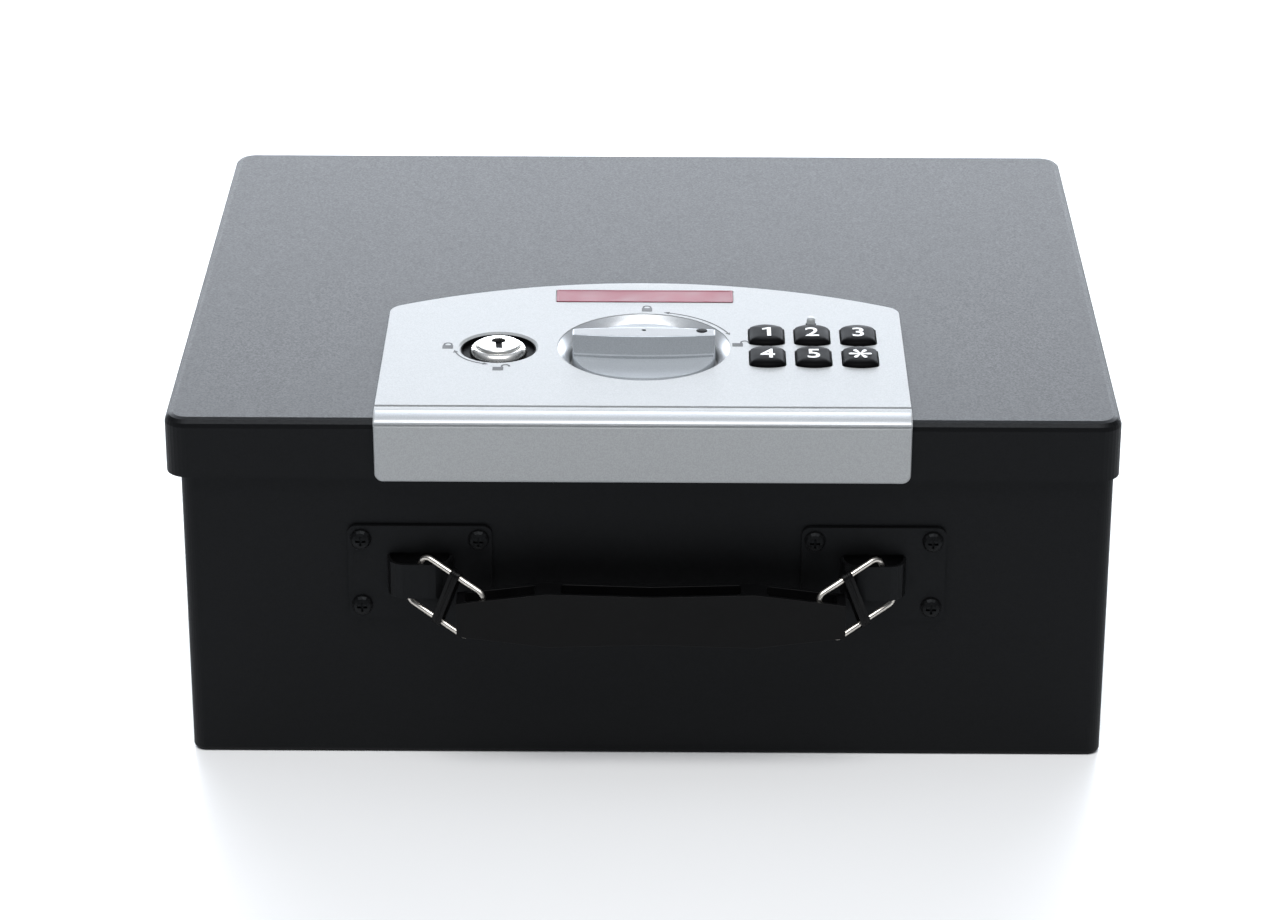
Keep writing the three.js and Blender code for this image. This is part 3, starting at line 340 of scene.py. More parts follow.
def soften(piece, width, segments=2, angle=30):
    """Rounds the sharp edges of a piece and evens out its shading."""
    bevel = piece.modifiers.new("edge_round", "BEVEL")
    bevel.width = width
    bevel.segments = segments
    bevel.limit_method = "ANGLE"
    bevel.angle_limit = math.radians(angle)
    bevel.use_clamp_overlap = True
    bevel.harden_normals = True
    shade_smooth(piece, 40)


def flatten_facets(piece):
    """Joins the coplanar triangles of a CAD node so that its edges can be rounded."""
    join = piece.modifiers.new("join_coplanar", "DECIMATE")
    join.decimate_type = "DISSOLVE"
    join.angle_limit = math.radians(1.5)


def prism(points, low, high, axis="z"):
    """A closed block: an outline swept from low to high along an axis. Along x the outline is (y, z)."""
    bm = bmesh.new()

    def at(a, b, c):
        return {"z": (a, b, c), "x": (c, a, b), "y": (a, c, b)}[axis]

    bottom = [bm.verts.new(at(a, b, low)) for a, b in points]
    top = [bm.verts.new(at(a, b, high)) for a, b in points]
    bm.faces.new(reversed(bottom))
    bm.faces.new(top)
    count = len(points)
    for k in range(count):
        bm.faces.new((bottom[k], bottom[(k + 1) % count], top[(k + 1) % count], top[k]))
    bmesh.ops.recalc_face_normals(bm, faces=bm.faces)
    return bm


def turned(profile, x=0.0, y=0.0, sides=96):
    """A turned block about a vertical axis; the profile's ends lie on the axis."""
    bm = bmesh.new()
    rings = []
    for radius, z in profile:
        if radius < 1e-7:
            rings.append([bm.verts.new((x, y, z))])
        else:
            rings.append([
                bm.verts.new((
                    x + radius * math.cos(2 * math.pi * k / sides),
                    y + radius * math.sin(2 * math.pi * k / sides), z,
                ))
                for k in range(sides)
            ])
    for first, second in zip(rings, rings[1:]):
        for k in range(sides):
            nxt = (k + 1) % sides
            lower = [first[k % len(first)], first[nxt % len(first)]]
            upper = [second[nxt % len(second)], second[k % len(second)]]
            unique = list(dict.fromkeys(lower + upper))
            if len(unique) > 2:
                bm.faces.new(unique)
    bmesh.ops.recalc_face_normals(bm, faces=bm.faces)
    return bm


def combine(first, second, how):
    """The union, difference or intersection of two closed bmeshes, as a new bmesh."""
    objects = []
    for bm in (first, second):
        mesh = bpy.data.meshes.new("work")
        bm.to_mesh(mesh)
        bm.free()
        objects.append(bpy.data.objects.new("work", mesh))
        bpy.context.collection.objects.link(objects[-1])
    step = objects[0].modifiers.new("step", "BOOLEAN")
    step.operation = how
    step.object = objects[1]
    step.solver = "EXACT"
    graph = bpy.context.evaluated_depsgraph_get()
    graph.update()
    result = bmesh.new()
    evaluated = objects[0].evaluated_get(graph)
    result.from_mesh(evaluated.to_mesh())
    evaluated.to_mesh_clear()
    for work in objects:
        bpy.data.meshes.remove(work.data)
    bmesh.ops.dissolve_limit(
        result, angle_limit=math.radians(0.5), verts=result.verts, edges=result.edges,
    )
    return result


def cut(body, *tools):
    for tool in tools:
        body = combine(body, tool, "DIFFERENCE")
    return body


def join(body, *others):
    for other in others:
        body = combine(body, other, "UNION")
    return body


def arc(cx, cy, radius, start, end, steps):
    """Points on an arc between two angles in degrees, both ends included."""
    angles = [math.radians(start + (end - start) * k / steps) for k in range(steps + 1)]
    return [(cx + radius * math.cos(a), cy + radius * math.sin(a)) for a in angles]


def rounded_outline(x0, x1, y0, y1, radius, steps=8):
    return (
        arc(x1 - radius, y0 + radius, radius, -90, 0, steps)
        + arc(x1 - radius, y1 - radius, radius, 0, 90, steps)
        + arc(x0 + radius, y1 - radius, radius, 90, 180, steps)
        + arc(x0 + radius, y0 + radius, radius, 180, 270, steps)
    )


def disc(radius, low, high, x, y, sides=64):
    return turned([(0, low), (radius, low), (radius, high), (0, high)], x, y, sides)


# ---------------------------------------------------------------- lock cover

KNOB_CENTRE = ((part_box("knob")[0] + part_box("knob")[1]) / 2).xy
KEY_CENTRE = ((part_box("lock_barrel")[0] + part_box("lock_barrel")[1]) / 2).xy
DISH_RADIUS = 30.8 * MM
COVER_BOW = 187 * MM               # plan radius of the cover's rear edge
COVER_CORNER = 7 * MM              # and of its rear corners
COVER_BACK = -0.1338               # back face of the fascia over the lid's skirt
COVER_PLATE = 2.2 * MM
FASCIA_LINE = 0.3 * MM             # from the roll down to the fine line across the fascia


def cover_outline():
    """Straight front and sides, and a rear edge that bows backwards between two rounded corners."""
    centre_y = COVER_HIGH.y - COVER_BOW
    corner_x = COVER_HALF_X - COVER_CORNER
    corner_y = centre_y + math.sqrt((COVER_BOW - COVER_CORNER) ** 2 - corner_x ** 2)
    meet = math.degrees(math.atan2(corner_y - centre_y, corner_x))
    points = [(-COVER_HALF_X, COVER_FRONT), (COVER_HALF_X, COVER_FRONT)]
    points += arc(corner_x, corner_y, COVER_CORNER, 0, meet, 10)
    points += arc(0, centre_y, COVER_BOW, meet, 180 - meet, 40)[1:-1]
    points += arc(-corner_x, corner_y, COVER_CORNER, 180 - meet, 180, 10)
    return [(x + LID_SHIFT, y) for x, y in points]


ROLL_DEPTH = 8 * MM                # the rolled front edge, front to back
ROLL_DROP = 2.6 * MM               # and top to bottom
ROLL_STEPS = 14


def cover_roll(front, top):
    """The quarter-ellipse roll over the cover's front edge, as (y, z) points from the fascia up."""
    turns = [math.radians(180 - 90 * step / ROLL_STEPS) for step in range(ROLL_STEPS + 1)]
    return [
        (front + ROLL_DEPTH * (1 + math.cos(turn)), top - ROLL_DROP * (1 - math.sin(turn)))
        for turn in turns
    ]


def cover_profile():
    """Side section, as (y, z): flat top, plain underside, fascia with its line, roll and groove."""
    top = COVER_TOP
    front = COVER_FRONT
    bottom = COVER_LOW.z
    under = top - COVER_PLATE
    line = top - ROLL_DROP - FASCIA_LINE
    return [
        (0.0, top), (0.0, under), (COVER_BACK, under), (COVER_BACK, bottom), (front, bottom),
        (front, line - 0.9 * MM), (front + 0.45 * MM, line - 0.55 * MM), (front + 0.45 * MM, line),
        *cover_roll(front, top),
        (front + 9.3 * MM, top), (front + 9.6 * MM, top - 1.0 * MM),
        (front + 10.7 * MM, top - 1.0 * MM), (front + 10.9 * MM, top),
    ]


KEY_HALF_X = 6.25 * MM
KEY_HALF_Y = 8.7 * MM
KEY_RISE = 0.4 * MM                # how far the moulded dome stands over the plain key


def bowed_end(half_x, half_y, bow, corner):
    """One end of a key's outline, right to left: a bow between two rounded corners."""
    bow_radius = (half_x ** 2 + bow ** 2) / (2 * bow)
    centre = half_y - bow_radius
    corner_x = half_x - corner
    corner_y = centre + math.sqrt((bow_radius - corner) ** 2 - corner_x ** 2)
    meet = math.degrees(math.atan2(corner_y - centre, corner_x))
    quarter = arc(corner_x, corner_y, corner, 0, meet, 8)
    crown = arc(0, centre, bow_radius, meet, 180 - meet, 12)[1:-1]
    return quarter + crown + [(-a, b) for a, b in reversed(quarter)]


def key_outline(x, y, grow=0.0):
    """A keypad key seen from above: straight sides, a bowed rear, a flatter front, rounded corners."""
    half_x = KEY_HALF_X + grow
    half_y = KEY_HALF_Y + grow
    rear = bowed_end(half_x, half_y, 2.7 * MM, 1.9 * MM)
    front = bowed_end(half_x, half_y, 1.8 * MM, 1.9 * MM)
    return [(x + a, y + b) for a, b in rear + [(-a, -b) for a, b in front]]


BUTTONS = {
    "button_1": "1", "button_2": "2", "button_3": "3", "button_4": "4", "button_5": "5", "button_star": "*",
}


def button_centre(name):
    low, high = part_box(name)
    return (low.x + high.x) / 2, (low.y + high.y) / 2


def fascia_rim(bm):
    """Eases the left, right and bottom edges of the fascia with a broad bevel."""
    eased = []
    for edge in bm.edges:
        a, b = (v.co for v in edge.verts)
        on_front = a.y < COVER_FRONT + 0.1 * MM and b.y < COVER_FRONT + 0.1 * MM
        at_line = all(v.z > COVER_TOP - 5 * MM for v in (a, b))
        if on_front and not at_line and not edge.is_boundary and edge.calc_face_angle(0) > 0.5:
            eased.append(edge)
    bmesh.ops.bevel(
        bm, geom=eased, offset=1.1 * MM, offset_type="OFFSET", segments=2, profile=0.5, affect="EDGES",
    )


def make_cover():
    """The bent cover with its dish and cut-outs, and brighter silver strips on the dish's slope and on the bead as
    painted highlights.
    """
    body = combine(
        prism(cover_outline(), COVER_LOW.z - 0.01, COVER_TOP + 0.01),
        prism(cover_profile(), LID_SHIFT - COVER_HALF_X - 0.01, LID_SHIFT + COVER_HALF_X + 0.01, "x"),
        "INTERSECT",
    )
    corners = rounded_outline(
        LID_SHIFT - COVER_HALF_X, LID_SHIFT + COVER_HALF_X, COVER_LOW.z, COVER_TOP + 20 * MM, 3 * MM,
    )
    body = combine(body, prism(corners, COVER_FRONT - 0.01, COVER_HIGH.y + 0.01, "y"), "INTERSECT")
    fascia_rim(body)
    kx, ky = KNOB_CENTRE
    bowl = turned([
        (0, COVER_TOP - 9.5 * MM), (30.6 * MM, COVER_TOP - 9.5 * MM), (32.6 * MM, COVER_TOP - 6.5 * MM),
        (32.6 * MM, COVER_TOP - 1 * MM), (0, COVER_TOP - 1 * MM),
    ], kx, ky)
    dish = turned([
        (0, COVER_TOP - 7.7 * MM), (26.4 * MM, COVER_TOP - 7.7 * MM), (26.6 * MM, COVER_TOP - 4.6 * MM),
        (27.2 * MM, COVER_TOP - 3.6 * MM), (28.2 * MM, COVER_TOP - 2.5 * MM),
        (29.4 * MM, COVER_TOP - 1.45 * MM), (DISH_RADIUS, COVER_TOP - 0.3 * MM),
        (DISH_RADIUS, COVER_TOP + 2 * MM), (0, COVER_TOP + 2 * MM),
    ], kx, ky)
    hub = disc(10.6 * MM, COVER_TOP - 12 * MM, COVER_TOP, kx, ky, 48)
    lx, ly = KEY_CENTRE
    key_hole = turned([
        (0, COVER_TOP - 10 * MM), (13.5 * MM, COVER_TOP - 10 * MM), (13.5 * MM, COVER_TOP - 0.7 * MM),
        (14.3 * MM, COVER_TOP), (14.3 * MM, COVER_TOP + 1 * MM), (0, COVER_TOP + 1 * MM),
    ], lx, ly, 72)
    tools = [dish, hub, key_hole]
    for name in BUTTONS:
        x, y = button_centre(name)
        tools.append(prism(key_outline(x, y, 0.35 * MM), COVER_TOP - 10 * MM, COVER_TOP + 1 * MM))
    lens_low, lens_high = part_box("status_lens")
    lens = (lens_low + lens_high) / 2
    tools.append(disc(1.9 * MM, COVER_TOP - 10 * MM, COVER_TOP + 1 * MM, lens.x, lens.y, 24))
    badge_low, badge_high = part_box("badge")
    seat = rounded_outline(
        badge_low.x - 0.3 * MM, badge_high.x + 0.3 * MM,
        badge_low.y - 0.3 * MM, badge_high.y + 0.3 * MM, 0.7 * MM,
    )
    tools.append(prism(seat, COVER_TOP - 0.6 * MM, COVER_TOP + 1 * MM))
    cover = piece_from("cover_skin", cut(join(body, bowl), *tools), "silver_plastic", "lid", ["lock_cover"])
    soften(cover, 0.28 * MM, 2, 35)
    even = cover.modifiers.new("even_shading", "WEIGHTED_NORMAL")
    even.keep_sharp = True
    # A thin ring of the brighter silver copy over the dish's slope: a painted highlight, partly rendered
    # reflection.
    ring = turned([
        (26.75 * MM, COVER_TOP - 4.5 * MM), (27.25 * MM, COVER_TOP - 3.55 * MM),
        (28.2 * MM, COVER_TOP - 2.43 * MM), (29.4 * MM, COVER_TOP - 1.38 * MM),
        (DISH_RADIUS - 0.15 * MM, COVER_TOP - 0.32 * MM),
        (DISH_RADIUS - 0.1 * MM, COVER_TOP - 0.8 * MM), (27.4 * MM, COVER_TOP - 4.5 * MM),
        (26.75 * MM, COVER_TOP - 4.5 * MM),
    ], kx, ky, 128)
    shade_smooth(piece_from("dish_slope_highlight", ring, "silver_highlight_satin", "lid"), 50)
    # A thin strip of the brighter silver copy over the front roll: a painted highlight, partly rendered
    # reflection.
    half = COVER_HALF_X - 0.5 * MM
    roll = [(y - 0.03 * MM, z + 0.04 * MM) for y, z in cover_roll(COVER_FRONT, COVER_TOP)[:-2]]
    inside = [(y + 0.3 * MM, z - 0.3 * MM) for y, z in reversed(roll)]
    bead_highlight_mesh = prism(roll + inside, LID_SHIFT - half, LID_SHIFT + half, "x")
    shade_smooth(piece_from("bead_highlight_strip", bead_highlight_mesh, "silver_bead_highlight", "lid"), 50)


# ---------------------------------------------------------------- keys

# The key's dome, as heights below its top and how far the outline draws in, in millimetres.
KEY_LAYERS = (
    (-5.6, 0.0), (-2.1, 0.0), (-1.6, -0.12), (-1.1, -0.42), (-0.72, -0.9), (-0.42, -1.6),
    (-0.2, -2.6), (-0.06, -3.9), (0.0, -5.4),
)
FIGURE_SIZE = 11.0 * MM
PRINT_THICKNESS = 0.06 * MM
# A plain figure 1 with a flag, in millimetres about its middle.
FIGURE_ONE = ((0.2, -3.9), (1.6, -3.9), (1.6, 3.9), (0.5, 3.9), (-1.5, 2.9), (-1.5, 1.7), (0.2, 2.3))


def make_button(name, figure):
    """One domed key and the figure printed on it."""
    x, y = button_centre(name)
    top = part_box(name)[1].z + KEY_RISE
    bm = bmesh.new()
    rings = []
    for drop, inset in KEY_LAYERS:
        shrink_x = 1 + inset * MM / KEY_HALF_X
        shrink_y = 1 + inset * MM / KEY_HALF_Y
        rings.append([
            bm.verts.new((x + a * shrink_x, y + b * shrink_y, top + drop * MM))
            for a, b in key_outline(0, 0)
        ])
    bm.faces.new(reversed(rings[0]))
    bm.faces.new(rings[-1])
    for low, high in zip(rings, rings[1:]):
        for k in range(len(low)):
            nxt = (k + 1) % len(low)
            bm.faces.new((low[k], low[nxt], high[nxt], high[k]))
    key = piece_from(f"{name}_key", bm, "rubber", f"{name}_body", [name])
    shade_smooth(key, 50)
    add_figure(f"{name}_figure", figure, x, y - 0.7 * MM, top + 0.02 * MM, f"{name}_body")


def add_figure(name, figure, x, y, z, body):
    """One printed figure, as a thin raised print on top of a key."""
    if figure == "1":
        stem = prism([(x + a * MM, y + b * MM) for a, b in FIGURE_ONE], z, z + PRINT_THICKNESS)
        piece_from(name, stem, "print_white", body)
        return
    curve = bpy.data.curves.new(name, "FONT")
    curve.body = figure
    curve.size = FIGURE_SIZE * (1.6 if figure == "*" else 1.0)
    curve.align_x = "CENTER"
    curve.align_y = "CENTER"
    curve.extrude = PRINT_THICKNESS
    curve.offset = 0.12 * MM
    work = bpy.data.objects.new(name, curve)
    bpy.context.collection.objects.link(work)
    bpy.context.view_layer.update()
    graph = bpy.context.evaluated_depsgraph_get()
    mesh = bpy.data.meshes.new_from_object(work.evaluated_get(graph))
    bpy.data.objects.remove(work)
    xs = [v.co.x for v in mesh.vertices]
    ys = [v.co.y for v in mesh.vertices]
    middle = (Vector((min(xs), min(ys), 0)) + Vector((max(xs), max(ys), 0))) / 2
    stretch = Matrix.Diagonal((1.0 if figure == "*" else 0.98, 1.0, 1.0, 1.0))
    turn = Matrix.Rotation(math.radians(90 if figure == "*" else 0), 4, "Z")
    mesh.transform(Matrix.Translation((x, y, z)) @ stretch @ turn @ Matrix.Translation(-middle))
    mesh.name = name
    piece_of_mesh(name, mesh, "print_white", body)


# ---------------------------------------------------------------- knob

BAR_DRAFT = 2.4 * MM               # how much wider each side of the grip bar is at its foot
BAR_LEDGE = 0.5 * MM               # the small step along that foot
BAR_HALF = 4.4 * MM                # half the bar's thickness at its top, in the middle
BAR_BOW = 1.8 * MM                 # how much slimmer each side is at the bar's ends
BAR_STEPS = 16
BAR_RISE = 6.8 * MM                # height of the bar over the knob's rim
SCOOP_RADIUS = 60 * MM
SCOOP_DEPTH = 0.97 * MM
SCOOP_REACH = 10.8 * MM            # from the bar's side to the scoop's deepest line


def make_knob():
    """The round knob: a scooped disc under a bowed finger bar, a darker silver layer on the bar's top as painted
    shade, and its dot.
    """
    low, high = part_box("knob")
    kx, ky = KNOB_CENTRE
    radius = (high.x - low.x) / 2
    rim = high.z - BAR_RISE
    base = COVER_TOP - 7.2 * MM
    body = turned([
        (0, base), (radius - 0.4 * MM, base), (radius, base + 0.5 * MM), (radius, rim - 1.0 * MM),
        (radius - 0.3 * MM, rim - 0.3 * MM), (radius - 1.0 * MM, rim), (0, rim),
    ], kx, ky, 112)
    for side in (-1, 1):
        scoop_y = ky + side * (BAR_HALF + SCOOP_REACH)
        circle = arc(scoop_y, rim - SCOOP_DEPTH + SCOOP_RADIUS, SCOOP_RADIUS, 250, 290, 48)
        body = combine(body, prism(circle, kx - 0.04, kx + 0.04, "x"), "DIFFERENCE")
    bowed = []
    length = radius - 0.2 * MM
    for side, start, end in ((-1, -1, 1), (1, 1, -1)):
        for k in range(BAR_STEPS + 1):
            t = start + (end - start) * k / BAR_STEPS
            bowed.append((kx + t * length, ky + side * (BAR_HALF - BAR_BOW * t * t)))
    bar = prism(bowed, rim - 3 * MM, high.z)
    for v in bar.verts:
        if v.co.z < rim:
            v.co.y += math.copysign(BAR_DRAFT, v.co.y - ky)
    ledge = prism(bowed, rim - 3 * MM, rim + BAR_LEDGE)
    for v in ledge.verts:
        v.co.y += math.copysign(BAR_DRAFT + BAR_LEDGE, v.co.y - ky)
    bar = join(bar, ledge)
    bar = combine(bar, disc(radius - 0.15 * MM, rim - 5 * MM, high.z + 0.01, kx, ky, 112), "INTERSECT")
    hub = disc(10 * MM, low.z, base + 1 * MM, kx, ky, 48)
    body = join(body, bar, hub)
    socket = disc(3.3 * MM, low.z - 0.001, base, kx, ky, 32)
    pin_hole = disc(0.8 * MM, high.z - 1.2 * MM, high.z + 0.001, kx, ky + 1.7 * MM, 24)
    knob = piece_from("knob_skin", cut(body, socket, pin_hole), "silver_knob", "knob", ["knob"])
    soften(knob, 0.45 * MM, 3, 30)
    # A thin layer of darker silver over the bar's top: painted shade.
    shaded_top_outline = [(kx + (x - kx) * 0.983, ky + (y - ky) * 0.86) for x, y in bowed]
    shaded_top = cut(
        prism(shaded_top_outline, high.z - 0.5 * MM, high.z + 0.06 * MM),
        disc(0.8 * MM, high.z - 1 * MM, high.z + 1 * MM, kx, ky + 1.7 * MM, 24),
    )
    shade_smooth(piece_from("knob_top_painted_shade", shaded_top, "silver_shaded_top", "knob"), 40)
    dot = turned([
        (0, high.z - 0.4 * MM), (2.0 * MM, high.z - 0.4 * MM), (2.0 * MM, high.z + 0.09 * MM),
        (1.8 * MM, high.z + 0.17 * MM), (0, high.z + 0.2 * MM),
    ], kx + 20.6 * MM, ky + 1.4 * MM, 32)
    shade_smooth(piece_from("knob_dot", dot, "rubber", "knob"))


# ---------------------------------------------------------------- key lock, lens and printed marks

PRINT_LOW = COVER_TOP + 0.005 * MM
PRINT_HIGH = COVER_TOP + 0.06 * MM
ARROW_WIDTH = 0.55 * MM            # line width of the turn arrows
ARROW_HEAD = 0.95 * MM             # half the width of their heads
ARROW_POINT = 2.0 * MM             # and the length


# The keyway seen from above, in millimetres about the plug's axis.
KEYWAY = (
    (-2.4, 3.4), (-2.4, 1.2), (-1.0, 0.6), (-0.6, -4.6), (1.7, -4.6),
    (1.3, 0.4), (2.4, 1.2), (2.4, 3.4), (1.0, 4.8), (-1.0, 4.8),
)
KEYWAY_SHADE_SCALE = 0.99               # size of the black block that paints the keyway's shade, against the keyway's


def make_key_lock():
    """Barrel with its coned flange, the plug with the keyway, a black ring round them as painted shade in the deep
    hole, and a black block in the keyway as painted shade.
    """
    lx, ly = KEY_CENTRE
    seat = COVER_TOP - COVER_PLATE
    # A matte black ring over the hole's floor and lower wall round the barrel: painted shade of the deep gap.
    annulus_shade_ring = turned([
        (10.35 * MM, seat - 0.25 * MM), (13.4 * MM, seat - 0.25 * MM), (13.4 * MM, COVER_TOP - 0.7 * MM),
        (13.1 * MM, COVER_TOP - 0.7 * MM), (13.1 * MM, seat + 0.1 * MM), (10.35 * MM, seat + 0.1 * MM),
        (10.35 * MM, seat - 0.25 * MM),
    ], lx, ly, 72)
    shade_smooth(piece_from("lock_annulus_shade", annulus_shade_ring, "rubber", "lid"))
    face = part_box("key_plug")[1].z
    top = face - 1.0 * MM
    barrel = turned([
        (6.5 * MM, seat - 12 * MM), (9.5 * MM, seat - 12 * MM), (9.5 * MM, seat), (10.2 * MM, seat),
        (10.25 * MM, seat + 0.5 * MM), (10.15 * MM, seat + 0.8 * MM), (9.6 * MM, top - 0.75 * MM),
        (9.1 * MM, top - 0.3 * MM), (8.6 * MM, top - 0.05 * MM), (8.1 * MM, top), (7.95 * MM, top - 0.2 * MM),
        (7.95 * MM, top - 1.9 * MM), (6.5 * MM, top - 1.9 * MM), (6.5 * MM, seat - 12 * MM),
    ], lx, ly)
    shade_smooth(piece_from("lock_barrel_skin", barrel, "chrome", "lid", ["lock_barrel"]), 35)
    plug = turned([
        (0, face - 25.5 * MM), (4 * MM, face - 25.5 * MM), (4 * MM, face - 18 * MM),
        (6.2 * MM, face - 18 * MM), (6.2 * MM, face - 2 * MM), (7.55 * MM, face - 2 * MM),
        (7.6 * MM, face - 0.5 * MM), (7.45 * MM, face - 0.2 * MM), (7.1 * MM, face - 0.05 * MM),
        (6 * MM, face), (0, face),
    ], lx, ly)
    slot = prism([(lx + a * MM, ly + b * MM) for a, b in KEYWAY], face - 9 * MM, face + 1 * MM)
    plug_piece = piece_from("key_plug_skin", cut(plug, slot), "chrome", "key_lock", ["key_plug"])
    soften(plug_piece, 0.15 * MM, 2, 40)
    # A black block down the keyway, just under its mouth: painted shade.
    shrunk = [(lx + a * KEYWAY_SHADE_SCALE * MM, ly + b * KEYWAY_SHADE_SCALE * MM) for a, b in KEYWAY]
    keyway_shade_block = prism(shrunk, face - 8.9 * MM, face - 1.3 * MM)
    shade_smooth(piece_from("keyway_painted_shade", keyway_shade_block, "rubber", "key_lock"))


def make_lens():
    """Status light: a clear-grey dome in a slim collar."""
    low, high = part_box("status_lens")
    x, y = ((low + high) / 2).xy
    dome = turned([
        (0, low.z), (2.1 * MM, low.z), (2.1 * MM, low.z + 1.4 * MM), (1.55 * MM, low.z + 1.4 * MM),
        (1.55 * MM, high.z - 1.3 * MM), (1.48 * MM, high.z - 0.85 * MM), (1.25 * MM, high.z - 0.42 * MM),
        (0.85 * MM, high.z - 0.14 * MM), (0.4 * MM, high.z - 0.02 * MM), (0, high.z),
    ], x, y, 32)
    shade_smooth(piece_from("status_dome", dome, "lens", "lid", ["status_lens"]), 50)
    collar = turned([
        (1.58 * MM, COVER_TOP - 0.8 * MM), (1.88 * MM, COVER_TOP - 0.8 * MM),
        (1.88 * MM, COVER_TOP + 0.1 * MM), (1.58 * MM, COVER_TOP + 0.2 * MM),
        (1.58 * MM, COVER_TOP - 0.8 * MM),
    ], x, y, 32)
    shade_smooth(piece_from("status_collar", collar, "rubber", "lid"))


def flat_print(name, outlines):
    """Printed marks: thin flat shapes on the cover, joined into one piece."""
    bm = bmesh.new()
    for outline in outlines:
        mark = prism(outline, PRINT_LOW, PRINT_HIGH)
        mesh = bpy.data.meshes.new("work")
        mark.to_mesh(mesh)
        mark.free()
        bm.from_mesh(mesh)
        bpy.data.meshes.remove(mesh)
    piece_from(name, bm, "print_grey", "lid")


def band(cx, cy, radius, start, end, width, steps=16):
    outer = arc(cx, cy, radius + width / 2, start, end, steps)
    inner = arc(cx, cy, radius - width / 2, end, start, steps)
    return outer + inner


def padlock(x, y, opened):
    """A plain padlock sign as outlines: a body, and a shackle that is shut or swung aside."""
    half = 1.9 * MM
    low, high = y - 2.6 * MM, y + 0.4 * MM
    body = [(x - half, low), (x + half, low), (x + half, high), (x - half, high)]
    shift = 2.6 * MM if opened else 0
    shackle = band(x + shift, y + 1.2 * MM, 1.3 * MM, 0, 180, 0.7 * MM)
    legs = []
    for side in (-1, 1):
        leg_x = x + shift + side * 1.3 * MM
        foot = y + 0.3 * MM if not (opened and side == 1) else y + 0.9 * MM
        legs.append([
            (leg_x - 0.35 * MM, foot), (leg_x + 0.35 * MM, foot),
            (leg_x + 0.35 * MM, y + 1.25 * MM), (leg_x - 0.35 * MM, y + 1.25 * MM),
        ])
    return [body, shackle, *legs]


def turn_arrow(cx, cy, radius, start, end):
    """A curved arrow with a head at each end."""
    shapes = [band(cx, cy, radius, start, end, ARROW_WIDTH)]
    for angle, way in ((start, -1), (end, 1)):
        a = math.radians(angle)
        outward = Vector((math.cos(a), math.sin(a)))
        along = Vector((-math.sin(a), math.cos(a))) * way * (1 if end > start else -1)
        tip = Vector((cx, cy)) + outward * radius
        shapes.append([
            tuple(tip + outward * ARROW_HEAD), tuple(tip - outward * ARROW_HEAD),
            tuple(tip + along * ARROW_POINT),
        ])
    return shapes


def make_prints():
    kx, ky = KNOB_CENTRE
    lx, ly = KEY_CENTRE
    flat_print("knob_marks", (
        padlock(kx + 0.9 * MM, ky + 35.5 * MM, False) + padlock(kx + 33.4 * MM, ky + 2.9 * MM, True)
        + turn_arrow(kx, ky, 32.6 * MM, 74, 23)
    ))
    flat_print("key_marks", (
        padlock(lx - 18.0 * MM, ly + 1.1 * MM, False) + padlock(lx + 0.6 * MM, ly - 18.4 * MM, True)
        + turn_arrow(lx, ly, 15.7 * MM, 198, 252)
    ))


def make_badge():
    """A plain plate with a raised border, left blank."""
    low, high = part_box("badge")
    plate = prism(rounded_outline(low.x, high.x, low.y, high.y, 0.6 * MM), low.z, high.z)
    border = 0.7 * MM
    field = rounded_outline(
        low.x + border, high.x - border, low.y + border, high.y - border, 0.4 * MM,
    )
    inner = prism(field, high.z - 0.12 * MM, high.z + 0.1 * MM)
    badge = piece_from("badge_plate", combine(plate, inner, "DIFFERENCE"), "badge_red", "lid", ["badge"])
    soften(badge, 0.08 * MM, 2)


# ---------------------------------------------------------------- carry handle

def tube(name, points, radius, look, body, stands_for):
    """A closed round wire through a list of points, as a smooth mesh."""
    curve = bpy.data.curves.new(name, "CURVE")
    curve.dimensions = "3D"
    curve.bevel_depth = radius
    curve.bevel_resolution = 6
    spline = curve.splines.new("POLY")
    spline.points.add(len(points) - 1)
    for point, place in zip(spline.points, points):
        point.co = (*place, 1)
    spline.use_cyclic_u = True
    work = bpy.data.objects.new(name, curve)
    bpy.context.collection.objects.link(work)
    bpy.context.view_layer.update()
    graph = bpy.context.evaluated_depsgraph_get()
    mesh = bpy.data.meshes.new_from_object(work.evaluated_get(graph))
    bpy.data.objects.remove(work)
    mesh.name = name
    piece_of_mesh(name, mesh, look, body, stands_for)
    mesh.shade_smooth()


RING_LENGTH = 26.4 * MM
RING_HEIGHT = 20 * MM
RING_WIRE = 1.0 * MM               # radius of the wire
RING_CORNER = 3 * MM
RING_YAW = math.radians(29)        # how far each ring stands off the front
RING_DROOP = math.radians(22)      # and how far its free end hangs down
STRAP_OUTER = 1.7 * MM
STRAP_INNER = 1.15 * MM
STRAP_PLACE = 13.7 * MM            # along the ring
# The strap's outer section, in millimetres: places across it and how far it swells there.
STRAP_SECTION = (
    (-1.8, 0.0), (-1.6, 0.12), (-0.5, 0.12), (-0.25, -0.12),
    (0.25, -0.12), (0.5, 0.12), (1.6, 0.12), (1.8, 0.0),
)


def ring_frame(side):
    """Origin and the two directions of a ring: along its length and up its height."""
    joint = next(j for j in frame["joints"] if j["name"] == f"ring_{side}_swing")
    origin = Vector(joint["pos_m"])
    sign = 1 if side == "left" else -1
    out_x = sign * math.cos(RING_YAW)
    out_y = -math.sin(RING_YAW)
    run, fall = math.cos(RING_DROOP), math.sin(RING_DROOP)
    along = Vector((out_x * run, out_y * run, -fall))
    up = Vector((out_x * fall, out_y * fall, run))
    return origin, along, up


def make_ring(side):
    origin, along, up = ring_frame(side)
    outline = rounded_outline(0, RING_LENGTH, -RING_HEIGHT / 2, RING_HEIGHT / 2, RING_CORNER, 8)
    tube(
        f"ring_{side}_wire", [origin + along * a + up * b for a, b in outline], RING_WIRE,
        "nickel_wire", f"ring_{side}", [f"handle_ring_{side}"],
    )


